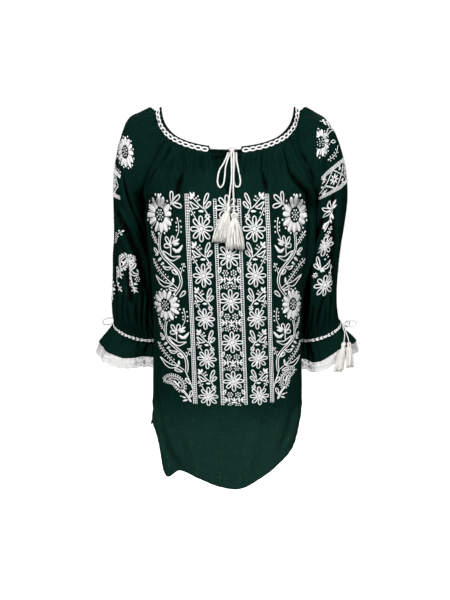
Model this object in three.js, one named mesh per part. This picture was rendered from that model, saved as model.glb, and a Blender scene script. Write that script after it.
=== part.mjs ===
// Embroidered peasant blouse, worn and hollow. Its raglan sleeves, front and back are gathered into one
// narrow neck band, the sleeves are drawn in at the wrist above a flounce edged with lace, the front has
// a slit below the neck, and the neck and both wrists are tied with tasselled cords.
// Millimetres. +Z is up and the front faces -Y, so the wearer's left sleeve is the one at +X.
// The origin lies midway between the shoulders, at the height at which they carry the blouse.
import * as THREE from "three";

// ---- driving dimensions -----------------------------------------------------------------------------
const panelWall = 1.2; // the wall of a sewn panel
const bandWall = 2; // folded cloth of the neck band and the wrist bands
const laceWall = 1;
const seamGap = 0.7; // clear space between two pieces at a seam
const neckSeamGap = 1.4; // and below the neck band, whose wall leans off the panels'
const armpitGap = 2.8; // and between the body's side and the sleeve at the armpit

const neckHalfWidth = 125; // the top edge of the neck band at the shoulders
const neckHalfDepth = 95; // and at its front and back
const neckPeakZ = 20; // its height at the shoulders, before the peak is rounded off
const neckDip = 80; // how far it dips to the front
const neckBackDip = 4; // and how much farther to the back
const neckLeanFront = 25; // the band's lean off the vertical, in degrees, at the front and back
const neckLeanSide = 53; // and on the shoulders
const neckBandHeight = 13;
const raglanTurn = 57; // where the front raglan seams meet the band, in degrees from the front's middle

const wristBandHeight = 9;
const wristBandLift = 3.3; // the middle of the band's wall above the middle of the sleeve's

const neckCordDiameter = 3.2;
const wristCordDiameter = 2.2;

// One row for each level of a sleeve, from the neck to the lace. The outer line runs along the top of the
// shoulder and the outside of the arm, and the inner line along the underarm (above the armpit, along
// the middle between both raglan seams). y and depth are the row's middle and half its depth, sweep is
// the angle each way from the outer line that it covers, and drop raises its back and lowers its front.
const sleeveRows = [
  { outerRight: 137, outerLeft: 137, outerZ: 5, innerX: 112, innerZ: -43, y: 0, depth: 68, sweep: 57, drop: 0 },
  { outerRight: 163, outerLeft: 163, outerZ: 2, innerX: 125, innerZ: -65, y: 2, depth: 75, sweep: 66, drop: 0 },
  { outerRight: 187, outerLeft: 188, outerZ: -8, innerX: 138, innerZ: -89, y: 5, depth: 78, sweep: 78, drop: 0 },
  { outerRight: 203, outerLeft: 209, outerZ: -45, innerX: 149, innerZ: -113, y: 9, depth: 79, sweep: 94, drop: 0 },
  { outerRight: 215, outerLeft: 224, outerZ: -94, innerX: 157, innerZ: -140, y: 15, depth: 75, sweep: 118, drop: 0 },
  { outerRight: 220, outerLeft: 231, outerZ: -150, innerX: 157, innerZ: -172, y: 22, depth: 69, sweep: 180, drop: 0 },
  { outerRight: 221, outerLeft: 227, outerZ: -214, innerX: 158, innerZ: -226, y: 30, depth: 65, sweep: 180, drop: 0 },
  { outerRight: 225, outerLeft: 219, outerZ: -290, innerX: 150, innerZ: -302, y: 40, depth: 60, sweep: 180, drop: 2 },
  { outerRight: 230, outerLeft: 217, outerZ: -365, innerX: 145, innerZ: -386, y: 47, depth: 56, sweep: 180, drop: 5 },
  { outerRight: 226, outerLeft: 222, outerZ: -403, innerX: 139, innerZ: -429, y: 53, depth: 45, sweep: 180, drop: 8 },
  { outerRight: 225, outerLeft: 224, outerZ: -410, innerX: 138, innerZ: -436, y: 54, depth: 44, sweep: 180, drop: 9 },
  { outerRight: 228, outerLeft: 228, outerZ: -417, innerX: 138, innerZ: -443, y: 55, depth: 45, sweep: 180, drop: 9 },
  { outerRight: 244, outerLeft: 244, outerZ: -435, innerX: 136, innerZ: -459, y: 60, depth: 54, sweep: 180, drop: 9 },
  { outerRight: 257, outerLeft: 258, outerZ: -452, innerX: 134, innerZ: -473, y: 65, depth: 62, sweep: 180, drop: 9 },
  { outerRight: 265, outerLeft: 263, outerZ: -474, innerX: 132, innerZ: -494, y: 67, depth: 66, sweep: 180, drop: 9 },
];
const armpitRow = 5;
const pleatRow = 7; // the wrist gathers start below this row
const wristRow = 10;
const flounceHemRow = 13;
const laceHemRow = 14;

// One row for each level of the body, from the neck to the hem: the height of its middle, the front's and
// the back's y there and the angle each way that each of them covers, and the side seam's place. Above
// the armpit the raglan seams give the panels' edges.
const bodyRows = [
  { z: -70, frontY: -101, frontSweep: 57, backY: 101, backSweep: 57, sideX: 112, sideY: 0 },
  { z: -88, frontY: -109, frontSweep: 62, backY: 101, backSweep: 60, sideX: 125, sideY: 2 },
  { z: -108, frontY: -116, frontSweep: 68, backY: 100, backSweep: 62, sideX: 138, sideY: 5 },
  { z: -129, frontY: -122, frontSweep: 77, backY: 99, backSweep: 64, sideX: 149, sideY: 9 },
  { z: -150, frontY: -127, frontSweep: 88, backY: 98, backSweep: 65, sideX: 155, sideY: 15 },
  { z: -172, frontY: -130, frontSweep: 99, backY: 97, backSweep: 66, sideX: 154.2, sideY: 22 },
  { z: -222, frontY: -132, frontSweep: 105, backY: 95, backSweep: 66, sideX: 148, sideY: 22 },
  { z: -300, frontY: -128, frontSweep: 108, backY: 90, backSweep: 66, sideX: 139, sideY: 19 },
  { z: -400, frontY: -120, frontSweep: 109, backY: 95, backSweep: 66, sideX: 135, sideY: 15 },
  { z: -545, frontY: -113, frontSweep: 107, backY: 103, backSweep: 68, sideX: 139, sideY: 10 },
  { z: -690, frontY: -110, frontSweep: 106, backY: 104, backSweep: 70, sideX: 140, sideY: 8 },
];
const ventRow = 9; // the side seams end here, and below it the hems are cut in a curve
const hemRow = 10;

// The height of each hem at places across it, from -1 at the -X edge to 1 at the +X edge.
const frontHem = [
  { across: -1, z: -572 },
  { across: -0.85, z: -584 },
  { across: -0.7, z: -606 },
  { across: -0.6, z: -648 },
  { across: -0.49, z: -686 },
  { across: -0.37, z: -671 },
  { across: -0.2, z: -682 },
  { across: -0.05, z: -696 },
  { across: 0.09, z: -700 },
  { across: 0.25, z: -681 },
  { across: 0.38, z: -661 },
  { across: 0.55, z: -632 },
  { across: 0.7, z: -588 },
  { across: 0.85, z: -574 },
  { across: 1, z: -568 },
];
const backHem = [
  { across: -1, z: -608 },
  { across: -0.85, z: -614 },
  { across: -0.5, z: -660 },
  { across: 0, z: -682 },
  { across: 0.5, z: -660 },
  { across: 0.85, z: -612 },
  { across: 1, z: -600 },
];
const ventFlareRight = 13; // how far the back's hem corner stands out at the wearer's right vent
const ventFlareLeft = 3; // and at the left one

// The front slit, as places across the front: its two edges at the band, and where and at which row it ends.
const slitRightEdge = -0.27;
const slitLeftEdge = 0.2;
const slitEnd = 0.035;
const slitEndRow = 4;

// Gathers below the neck band, as soft troughs. place is across the piece, and reach is the number of
// rows in which a trough fades out.
const frontGathers = [
  { place: -0.86, width: 0.06, depth: 4.6, reach: 4.2 },
  { place: -0.71, width: 0.05, depth: 3.0, reach: 2.4 },
  { place: -0.5, width: 0.07, depth: 4.4, reach: 3.8 },
  { place: -0.29, width: 0.05, depth: 3.2, reach: 2.6 },
  { place: 0.21, width: 0.05, depth: 3.0, reach: 2.8 },
  { place: 0.43, width: 0.07, depth: 4.6, reach: 4.4 },
  { place: 0.64, width: 0.05, depth: 3.2, reach: 2.6 },
  { place: 0.86, width: 0.06, depth: 4.6, reach: 3.6 },
];
const backGathers = [
  { place: -0.8, width: 0.08, depth: 4.2, reach: 3.4 },
  { place: -0.5, width: 0.07, depth: 3.4, reach: 2.6 },
  { place: -0.2, width: 0.08, depth: 4.4, reach: 3.8 },
  { place: 0.2, width: 0.07, depth: 3.4, reach: 2.8 },
  { place: 0.5, width: 0.08, depth: 4.2, reach: 3.6 },
  { place: 0.8, width: 0.07, depth: 3.8, reach: 3.0 },
];
const sleeveGathers = [
  { place: -0.6, width: 0.11, depth: 4.0, reach: 2.6 },
  { place: -0.2, width: 0.1, depth: 3.4, reach: 2.0 },
  { place: 0.2, width: 0.1, depth: 3.6, reach: 2.2 },
  { place: 0.6, width: 0.11, depth: 4.0, reach: 2.8 },
];
const wristPleatDepth = 2.2;
const flounceWaves = 7;
const flounceWaveDepth = 3.6;

// How finely the cloth is cut up: columns across or round a piece, and rows to one row of a table.
const frontColumns = 28;
const backColumns = 18;
const sleeveColumns = 18;
const wristBandColumns = 24;
const flounceColumns = 4 * flounceWaves;
const rowsPerRow = 2;

const cordSides = 8;
const tasselSides = 12;

const finishes = {
  cloth: new THREE.MeshStandardMaterial({ color: 0x12302a, roughness: 0.85, metalness: 0 }),
  band: new THREE.MeshStandardMaterial({ color: 0x0f2822, roughness: 0.8, metalness: 0 }),
  lace: new THREE.MeshStandardMaterial({ color: 0xe9e8e4, roughness: 0.9, metalness: 0 }),
  cord: new THREE.MeshStandardMaterial({ color: 0xe6e5e0, roughness: 0.75, metalness: 0 }),
};

// ---- small helpers ----------------------------------------------------------------------------------
const radians = (degrees) => (degrees * Math.PI) / 180;
const point = (x, y, z) => new THREE.Vector3(x, y, z);
const smooth = (t) => THREE.MathUtils.smoothstep(t, 0, 1);
const placeOf = (column, columns) => (2 * column) / columns - 1;

// A number between b and c, on the curve through four evenly spaced ones.
function between(a, b, c, d, t) {
  return 0.5 * (2 * b + (c - a) * t + (2 * a - 5 * b + 4 * c - d) * t * t + (3 * b - a - 3 * c + d) * t ** 3);
}

// The four rows of a table round the interval that starts at row i.
function rowsRound(rows, i) {
  return [i - 1, i, i + 1, i + 2].map((k) => rows[THREE.MathUtils.clamp(k, 0, rows.length - 1)]);
}

// A table read at row u, which may lie between two of its rows.
function rowAt(rows, u) {
  const i = THREE.MathUtils.clamp(Math.floor(u), 0, rows.length - 2);
  const [a, b, c, d] = rowsRound(rows, i);
  const read = {};
  for (const name of Object.keys(b)) read[name] = between(a[name], b[name], c[name], d[name], u - i);
  return read;
}

// The height of a hem at a place across it.
function hemZ(hem, across) {
  const place = THREE.MathUtils.clamp(across, -1, 1);
  let i = 0;
  while (hem[i + 1].across < place) i += 1;
  const [a, b, c, d] = rowsRound(hem, i);
  return between(a.z, b.z, c.z, d.z, (place - b.across) / (c.across - b.across));
}

// How deep the gathers of a table are at a place across the piece and u rows below the band.
function gatherDepth(gathers, place, u) {
  const edgeFade = Math.max(1 - Math.abs(place) ** 12, 0);
  const bandFade = smooth((u + 0.15) / 0.6); // the band holds them nearly flat
  const depths = gathers.map(
    (g) => g.depth * Math.exp(-(((place - g.place) / g.width) ** 2)) * (1 - smooth(u / g.reach)),
  );
  return edgeFade * bandFade * depths.reduce((sum, depth) => sum + depth, 0);
}

// The rows to model from one row of a table to another.
function rowSteps(from, to) {
  const count = Math.round((to - from) * rowsPerRow);
  return Array.from({ length: count + 1 }, (_, i) => from + ((to - from) * i) / count);
}

// ---- the form of the worn blouse --------------------------------------------------------------------
// A point of the neck line. turn is in degrees from the front's middle towards +X, and down is the
// distance below the band's top edge, along the cloth.
function neckPoint(turn, down) {
  const ahead = Math.cos(radians(turn));
  const aside = Math.sin(radians(turn));
  const lean = radians(neckLeanFront + (neckLeanSide - neckLeanFront) * aside ** 2);
  const saddle = (ahead ** 2 + 0.0004) ** 0.34; // flat over the front and the back, steep to the shoulders
  const outwards = down * Math.sin(lean);
  return point(
    (neckHalfWidth + outwards) * aside,
    -(neckHalfDepth + outwards) * ahead,
    neckPeakZ - neckDip * saddle + neckBackDip * Math.min(ahead, 0) - down * Math.cos(lean),
  );
}

// A point of a sleeve at row u. side is -1 for the right sleeve and 1 for the left one, and around goes
// from -1 at the front seam over 0 on the outer line to 1 at the back seam.
function sleevePoint(side, u, around) {
  const r = rowAt(sleeveRows, u);
  const sweep = radians(u < armpitRow ? r.sweep : 180);
  const angle = around * sweep;
  const outwards = (Math.cos(angle) - Math.cos(sweep)) / (1 - Math.cos(sweep));
  const outerX = side < 0 ? r.outerRight : r.outerLeft;
  const p = point(
    side * (r.innerX + (outerX - r.innerX) * outwards),
    r.y + r.depth * Math.sin(angle),
    r.innerZ + (r.outerZ - r.innerZ) * outwards + r.drop * Math.sin(angle),
  );
  const turn = side * (90 + (90 - raglanTurn) * around);
  return p.lerp(neckPoint(turn, neckBandHeight + neckSeamGap), 1 - smooth(u));
}

// The edge that a body panel has at row u: the raglan seam down to the armpit, then the side seam.
function bodyEdge(face, side, u) {
  if (u > armpitRow) {
    const r = rowAt(bodyRows, u);
    return point(side * r.sideX, r.sideY, r.z);
  }
  const edge = sleevePoint(side, u, face);
  edge.x -= side * armpitGap * smooth(u - slitEndRow);
  return edge;
}

// A point of the front (face -1) or the back (face 1) at row u. across is -1 at the -X edge, 1 at +X.
function bodyPoint(face, u, across) {
  const r = rowAt(bodyRows, u);
  const sweep = radians(face < 0 ? r.frontSweep : r.backSweep);
  const angle = across * sweep;
  const middle = (Math.cos(angle) - Math.cos(sweep)) / (1 - Math.cos(sweep));
  const middleY = face < 0 ? r.frontY : r.backY;
  const side = across < 0 ? -1 : 1;
  const edge = bodyEdge(face, side, u);
  const p = point(
    (Math.abs(edge.x) * Math.sin(angle)) / Math.sin(sweep),
    edge.y + (middleY - edge.y) * middle,
    r.z + (edge.z - r.z) * Math.max(1 - middle, 0) ** 1.45, // a row rises to the raglan seams near its ends
  );
  if (u > ventRow) {
    const below = u - ventRow;
    const ventZ = bodyRows[ventRow].z;
    const flare = side < 0 ? ventFlareRight : ventFlareLeft;
    p.z = ventZ + (hemZ(face < 0 ? frontHem : backHem, across) - ventZ) * below;
    if (face > 0) p.x += side * flare * smooth((Math.abs(across) - 0.6) / 0.4) * below;
    p.y += face * 2 * Math.abs(across) ** 6 * below; // the vents stand a little open
  }
  const turn = face < 0 ? raglanTurn * across : 180 - raglanTurn * across;
  return p.lerp(neckPoint(turn, neckBandHeight + neckSeamGap), 1 - smooth(u));
}

// The surfaces above with one way of running: place goes from -1 to 1, left to right as seen from outside.
const bodySurface = (face) => (u, place) => bodyPoint(face, u, -face * place);
const sleeveSurface = (side) => (u, place) => sleevePoint(side, u, side * place);

// The way out of a surface at a point of it.
function wayOut(surface, u, place) {
  const step = 0.01;
  const right = surface(u, place + step).sub(surface(u, place - step));
  const down = surface(u + step, place).sub(surface(Math.max(u - step, 0), place));
  return down.cross(right).normalize();
}

// The way out that both pieces share at a raglan seam or a side seam, so that their edges are mitred.
// Where they lie back to back, as at the armpit, each keeps its own.
function seamOut(side, face, u, own) {
  const bodyOut = wayOut(bodySurface(face), u, -face * side);
  const otherOut = u < armpitRow
    ? wayOut(sleeveSurface(side), u, side * face)
    : wayOut(bodySurface(-face), u, face * side);
  const shared = bodyOut.add(otherOut);
  return shared.length() > 0.8 ? shared.normalize() : own;
}

// ---- walls of cloth ---------------------------------------------------------------------------------
// A closed wall round a surface given as rows of points, each from left to right as seen from outside.
// Points at one place are one, so a ring's ends join and a slit closes by itself. skippedColumn has no
// cloth, and edgeOut may give the way out at the first and the last point of a row.
function clothWall({ rows, thickness, skippedColumn = -1, edgeOut = (row, column, own) => own }) {
  const points = [];
  const places = new Map();
  const ids = rows.map((row) => row.map((p) => {
    const place = [p.x, p.y, p.z].map((v) => v.toFixed(3)).join();
    if (!places.has(place)) places.set(place, points.push(p) - 1);
    return places.get(place);
  }));
  const triangles = [];
  for (let i = 0; i + 1 < ids.length; i += 1) {
    for (let j = 0; j + 1 < ids[i].length; j += 1) {
      if (j === skippedColumn) continue;
      const [a, b, c, d] = [ids[i][j], ids[i][j + 1], ids[i + 1][j + 1], ids[i + 1][j]];
      const cutFromA = points[a].distanceTo(points[c]) <= points[b].distanceTo(points[d]);
      const halves = cutFromA ? [[a, d, c], [a, c, b]] : [[a, d, b], [d, c, b]]; // cut at the shorter diagonal
      triangles.push(...halves.filter((corners) => new Set(corners).size === 3));
    }
  }
  const outs = points.map(() => point(0, 0, 0));
  for (const corners of triangles) {
    const [p, q, r] = corners.map((k) => points[k]);
    const out = q.clone().sub(p).cross(r.clone().sub(p));
    for (const k of corners) outs[k].add(out);
  }
  for (const out of outs) out.normalize();
  ids.forEach((row, i) => {
    for (const j of [0, row.length - 1]) outs[row[j]] = edgeOut(i, j, outs[row[j]]);
  });
  return wallBetween(points, outs, triangles, thickness);
}

// The outer and the inner face, half the thickness each way from the points, joined along the open edges.
function wallBetween(points, outs, triangles, thickness) {
  const count = points.length;
  const position = new Float32Array(6 * count);
  points.forEach((p, i) => {
    p.clone().addScaledVector(outs[i], thickness / 2).toArray(position, 3 * i);
    p.clone().addScaledVector(outs[i], -thickness / 2).toArray(position, 3 * (count + i));
  });
  const edges = new Set(triangles.flatMap(([a, b, c]) => [`${a} ${b}`, `${b} ${c}`, `${c} ${a}`]));
  const index = [];
  for (const [a, b, c] of triangles) {
    index.push(a, b, c, count + a, count + c, count + b);
    for (const [p, q] of [[a, b], [b, c], [c, a]]) {
      if (!edges.has(`${q} ${p}`)) index.push(q, p, count + p, q, count + p, count + q);
    }
  }
  const geometry = new THREE.BufferGeometry();
  geometry.setAttribute("position", new THREE.BufferAttribute(position, 3));
  geometry.setIndex(index);
  geometry.computeVertexNormals();
  return geometry;
}

// Moves the two ends of a row towards their neighbours, to leave half a seam gap.
function trimEnds(row) {
  const trimmed = row.map((p) => p.clone());
  for (const [end, next] of [[0, 1], [row.length - 1, row.length - 2]]) {
    trimmed[end].addScaledVector(row[next].clone().sub(row[end]).normalize(), seamGap / 2);
  }
  return trimmed;
}

const pieces = new THREE.Group();

function addPiece(name, geometry, finish) {
  const mesh = new THREE.Mesh(geometry, finish);
  mesh.name = name;
  pieces.add(mesh);
}

// ---- front and back ---------------------------------------------------------------------------------
// A body panel's point, with its gathers pressed in.
function bodyCloth(face, gathers, u, place) {
  const surface = bodySurface(face);
  return surface(u, place).addScaledVector(wayOut(surface, u, place), -gatherDepth(gathers, place, u));
}

// The front's points at row u, with two in the middle: the edges of the slit, or the same place below it.
function frontRow(u) {
  const open = Math.max(1 - u / slitEndRow, 0);
  const rightEdge = slitEnd + (slitRightEdge - slitEnd) * open;
  const leftEdge = slitEnd + (slitLeftEdge - slitEnd) * open;
  const half = frontColumns / 2;
  const row = [];
  for (let j = 0; j <= half; j += 1) row.push(-1 + ((rightEdge + 1) * j) / half);
  for (let j = 0; j <= half; j += 1) row.push(leftEdge + ((1 - leftEdge) * j) / half);
  return trimEnds(row.map((place) => bodyCloth(-1, frontGathers, u, place)));
}

function backRow(u) {
  const places = Array.from({ length: backColumns + 1 }, (_, j) => placeOf(j, backColumns));
  return trimEnds(places.map((place) => bodyCloth(1, backGathers, u, place)));
}

function bodyPanel(face, rowOf, skippedColumn) {
  const us = rowSteps(0, hemRow);
  return clothWall({
    rows: us.map(rowOf),
    thickness: panelWall,
    skippedColumn,
    edgeOut: (i, j, own) => {
      if (us[i] > ventRow) return own;
      const side = (j === 0 ? 1 : -1) * face;
      return seamOut(side, face, us[i], own);
    },
  });
}

addPiece("front", bodyPanel(-1, frontRow, frontColumns / 2), finishes.cloth);
addPiece("back", bodyPanel(1, backRow, -1), finishes.cloth);

// ---- sleeves, wrist bands, flounces and lace -----------------------------------------------------------
// A sleeve's point with all that shapes its cloth: gathers at the neck, pleats at the wrist, and the waves
// of the flounce and the lace.
function sleeveCloth(side, u, place) {
  const surface = sleeveSurface(side);
  const turn = Math.PI * place;
  const pleated = smooth((u - pleatRow) / 2) * (1 - smooth((u - wristRow + 1) / 0.4));
  const waved = smooth((u - wristRow) / (flounceHemRow - wristRow));
  const pleats = wristPleatDepth * pleated * Math.cos((sleeveColumns / 2) * turn);
  const waves = flounceWaveDepth * waved * Math.cos(flounceWaves * turn + 0.7 * Math.sin(turn));
  const lift = pleats + waves - gatherDepth(sleeveGathers, place, u);
  return surface(u, place).addScaledVector(wayOut(surface, u, place), lift);
}

function sleeveRing(side, u, columns, lift = 0) {
  const surface = sleeveSurface(side);
  return Array.from({ length: columns + 1 }, (_, j) => {
    const place = placeOf(j, columns);
    return sleeveCloth(side, u, place).addScaledVector(wayOut(surface, u, place), lift);
  });
}

function sleeveWall(side, us, columns, thickness, lift) {
  return clothWall({ rows: us.map((u) => sleeveRing(side, u, columns, lift)), thickness });
}

const rowHeightAtWrist = 7; // millimetres from one row of the table to the next near the wrist
const rowHeightAtLace = 22; // and at the lace
const halfGapRows = seamGap / rowHeightAtWrist;
const halfBandRows = wristBandHeight / 2 / rowHeightAtWrist;

function sleeve(side) {
  const us = [...rowSteps(0, wristRow - 1), wristRow - halfGapRows];
  return clothWall({
    rows: us.map((u) => {
      const ring = sleeveRing(side, u, sleeveColumns);
      return u < armpitRow ? trimEnds(ring) : ring;
    }),
    thickness: panelWall,
    edgeOut: (i, j, own) => {
      if (us[i] >= armpitRow) return own;
      const face = (j === 0 ? -1 : 1) * side;
      return seamOut(side, face, us[i], own);
    },
  });
}

const bandSteps = [wristRow - halfBandRows, wristRow, wristRow + halfBandRows];
const flounceSteps = [wristRow + halfGapRows, 10.8, 11.6, 12.3, flounceHemRow];
const laceSteps = [flounceHemRow + 1.5 * seamGap / rowHeightAtLace, (flounceHemRow + laceHemRow) / 2, laceHemRow];

for (const [name, side] of [["right", -1], ["left", 1]]) {
  const wristBand = sleeveWall(side, bandSteps, wristBandColumns, bandWall, wristBandLift);
  addPiece(`sleeve_${name}`, sleeve(side), finishes.cloth);
  addPiece(`wrist_band_${name}`, wristBand, finishes.band);
  addPiece(`flounce_${name}`, sleeveWall(side, flounceSteps, flounceColumns, panelWall), finishes.cloth);
  addPiece(`lace_${name}`, sleeveWall(side, laceSteps, flounceColumns, laceWall), finishes.lace);
}

// ---- neck band ----------------------------------------------------------------------------------------
// It runs from the slit's left edge round the wearer's left shoulder, the back and the right shoulder to
// the slit's right edge, with a corner at every second column of the pieces below it.
function neckBand() {
  const stretches = [
    { from: raglanTurn * slitLeftEdge, to: raglanTurn, columns: frontColumns / 4 },
    { from: raglanTurn, to: 180 - raglanTurn, columns: sleeveColumns / 2 },
    { from: 180 - raglanTurn, to: 180 + raglanTurn, columns: backColumns / 2 },
    { from: 180 + raglanTurn, to: 360 - raglanTurn, columns: sleeveColumns / 2 },
    { from: 360 - raglanTurn, to: 360 + raglanTurn * slitRightEdge, columns: frontColumns / 4 },
  ];
  const turns = stretches.flatMap(({ from, to, columns }, i) =>
    Array.from({ length: columns + 1 }, (_, j) => from + ((to - from) * j) / columns).slice(i === 0 ? 0 : 1),
  );
  const downs = [0, neckBandHeight / 2, neckBandHeight];
  return clothWall({ rows: downs.map((down) => turns.map((turn) => neckPoint(turn, down))), thickness: bandWall });
}

addPiece("neck_band", neckBand(), finishes.band);

// ---- tie cords ----------------------------------------------------------------------------------------
function cord(points, diameter, steps) {
  const corners = Array.from({ length: cordSides }, (_, i) => {
    const angle = (2 * Math.PI * i) / cordSides;
    return new THREE.Vector2(Math.cos(angle), Math.sin(angle)).multiplyScalar(diameter / 2);
  });
  const route = new THREE.CatmullRomCurve3(points.map(([x, y, z]) => point(x, y, z)));
  return new THREE.ExtrudeGeometry(new THREE.Shape(corners), { steps, bevelEnabled: false, extrudePath: route });
}

function knot(centre, halfSize) {
  return new THREE.SphereGeometry(1, 10, 8).scale(...halfSize).translate(...centre);
}

// A tassel's outline: along is from its top to its ends, the rest are shares of half its width and depth.
const tasselRows = [
  { along: 0, width: 0.14, depth: 0.34 },
  { along: 0.04, width: 0.3, depth: 0.74 },
  { along: 0.11, width: 0.32, depth: 0.8 },
  { along: 0.17, width: 0.22, depth: 0.54 },
  { along: 0.32, width: 0.46, depth: 0.84 },
  { along: 0.65, width: 0.78, depth: 1 },
  { along: 1, width: 1, depth: 0.94 },
];

// turn is the way that its flat side faces, in degrees from -Y towards +X.
function tassel({ top, bottom, halfWidth, halfDepth, turn }) {
  const [from, to] = [point(...top), point(...bottom)];
  const wide = point(Math.cos(radians(turn)), Math.sin(radians(turn)), 0);
  const deep = point(-Math.sin(radians(turn)), Math.cos(radians(turn)), 0);
  const position = [];
  const index = [];
  const last = tasselRows.length - 1;
  tasselRows.forEach((r, i) => {
    for (let k = 0; k < tasselSides; k += 1) {
      const angle = (2 * Math.PI * k) / tasselSides;
      const p = from.clone().lerp(to, r.along);
      p.addScaledVector(wide, r.width * halfWidth * Math.cos(angle));
      p.addScaledVector(deep, r.depth * halfDepth * Math.sin(angle));
      position.push(p.x, p.y, p.z);
      const next = (k + 1) % tasselSides;
      const [a, b] = [i * tasselSides + k, i * tasselSides + next];
      if (i < last) index.push(a, b + tasselSides, b, a, a + tasselSides, b + tasselSides);
      if (i === 0 && k > 0 && next > 0) index.push(0, a, b);
      if (i === last && k > 0 && next > 0) index.push(i * tasselSides, b, a);
    }
  });
  const geometry = new THREE.BufferGeometry();
  geometry.setAttribute("position", new THREE.Float32BufferAttribute(position, 3));
  geometry.setIndex(index);
  geometry.computeVertexNormals();
  return geometry;
}

// Each tie has its knot, two loops of its bow and two tails, each with a tassel. The points of a cord are
// its route, and its steps suit its length.
const ties = [
  {
    name: "neck",
    diameter: neckCordDiameter,
    knot: { centre: [8, -102.4, -64.4], halfSize: [7.4, 4.6, 4.6] },
    loopSteps: 16,
    tailSteps: 9,
    loops: {
      right: [
        [0.8, -102, -70.2], [-4, -108.4, -82], [-9, -112.6, -91.5], [-14.4, -116.4, -100], [-17.8, -121.4, -113.5],
        [-17.7, -125.4, -125.5], [-13.6, -127, -131.4], [-8.4, -125.6, -126.5], [-5.4, -121.4, -112.5],
        [-4.2, -116.8, -98], [-0.4, -110.8, -83], [4.6, -102.6, -70.2],
      ],
      left: [
        [15.4, -102, -70.2], [16.3, -110.4, -85], [18.1, -115.4, -95.5], [20.8, -120.2, -109], [22.6, -124.4, -122],
        [19.8, -126.8, -129.6], [15, -126.8, -130], [11.6, -125.2, -124], [10.6, -121.6, -113],
        [11.2, -117, -100], [12.2, -111.6, -88], [11.6, -102.6, -70.2],
      ],
    },
    tails: {
      right: [
        [6.4, -106, -70.2], [6.6, -114.5, -85], [6.9, -122, -105], [6.2, -127.8, -120], [4.4, -131.4, -134],
        [2.6, -134.6, -150], [0.6, -136.6, -163.4],
      ],
      left: [
        [10.2, -106.2, -70.2], [10.2, -115.4, -85], [10.4, -122.8, -103], [10.2, -128.4, -118], [9.8, -132, -132],
        [10.2, -135, -150], [11.2, -137.2, -168], [11.6, -138, -175.4],
      ],
    },
    tassels: {
      right: { top: [0.4, -136.9, -164.1], bottom: [-13.5, -140.4, -228], halfWidth: 12, halfDepth: 5.5, turn: 0 },
      left: { top: [11.7, -138.2, -176], bottom: [14.5, -141.4, -241], halfWidth: 14.5, halfDepth: 5.5, turn: 0 },
    },
  },
  {
    name: "wrist_left",
    diameter: wristCordDiameter,
    knot: { centre: [231.5, 34, -410.5], halfSize: [4.2, 4.2, 4.2] },
    loopSteps: 7,
    tailSteps: 3,
    loops: {
      front: [
        [235.8, 35.4, -408.6], [242, 40, -404], [252, 44, -403.6], [259, 46, -409], [255, 46, -415.5],
        [247, 43, -415.8], [236.2, 37, -411.8],
      ],
      back: [
        [232.4, 38.7, -409.4], [238, 46, -405.6], [244, 56, -406.6], [247, 63, -412.6], [243.6, 61, -419],
        [238.6, 51, -416.4], [233.6, 38.4, -413],
      ],
    },
    tails: {
      front: [[229.8, 30.8, -414.6], [232.6, 24.4, -424], [231.6, 18, -434], [230.4, 14.4, -440.4]],
      back: [[233.6, 32.4, -414.8], [235.8, 28.6, -424], [238.8, 21.4, -434], [240.2, 16, -441.2]],
    },
    tassels: {
      front: { top: [230.3, 13.8, -441.5], bottom: [217, -11, -495.5], halfWidth: 9, halfDepth: 5, turn: 32 },
      back: { top: [240.4, 15.4, -442.3], bottom: [241.5, 1, -490], halfWidth: 9, halfDepth: 5, turn: 45 },
    },
  },
  {
    name: "wrist_right",
    diameter: wristCordDiameter,
    knot: { centre: [-219.5, 91.5, -410.5], halfSize: [4.2, 4.2, 4.2] },
    loopSteps: 7,
    tailSteps: 3,
    loops: {
      front: [
        [-224, 90.4, -409], [-234, 84, -405.6], [-246, 76, -404.8], [-253, 71.6, -410], [-251, 71.6, -416],
        [-243, 76, -417.6], [-233, 84, -415.6], [-223.8, 90.2, -412.2],
      ],
      back: [
        [-218.6, 96.2, -409], [-221, 104, -405.6], [-217, 113, -406.6], [-211, 117, -412], [-211, 113.6, -418],
        [-214, 106, -416.6], [-217, 96, -412.2],
      ],
    },
    tails: {
      front: [[-221.6, 93.8, -414.8], [-230, 101.5, -426], [-237, 110, -436], [-240.2, 115.4, -443.4]],
      back: [[-217.4, 95.2, -414.8], [-221, 105.5, -426], [-224.2, 115.6, -436], [-226, 121.8, -443.4]],
    },
    tassels: {
      front: { top: [-240.6, 116, -444.5], bottom: [-256, 135.5, -494], halfWidth: 8, halfDepth: 5, turn: -142 },
      back: { top: [-226.2, 122.4, -444.5], bottom: [-235.5, 145, -493], halfWidth: 8, halfDepth: 5, turn: -154 },
    },
  },
];

// The stretch of the neck cord that crosses the slit, from one end of the band to the other.
const neckCordCrossing = [[-31.6, -93.6, -62.6], [-14, -95, -63.4], [8, -95.8, -63.6], [23.4, -94.8, -63.2]];
addPiece("neck_cord_crossing", cord(neckCordCrossing, neckCordDiameter, 5), finishes.cord);

for (const tie of ties) {
  addPiece(`${tie.name}_knot`, knot(tie.knot.centre, tie.knot.halfSize), finishes.cord);
  for (const [end, points] of Object.entries(tie.loops)) {
    addPiece(`${tie.name}_loop_${end}`, cord(points, tie.diameter, tie.loopSteps), finishes.cord);
  }
  for (const [end, points] of Object.entries(tie.tails)) {
    addPiece(`${tie.name}_tail_${end}`, cord(points, tie.diameter, tie.tailSteps), finishes.cord);
  }
  for (const [end, sizes] of Object.entries(tie.tassels)) {
    addPiece(`${tie.name}_tassel_${end}`, tassel(sizes), finishes.cord);
  }
}

export default pieces;
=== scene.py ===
import math
import random

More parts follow.
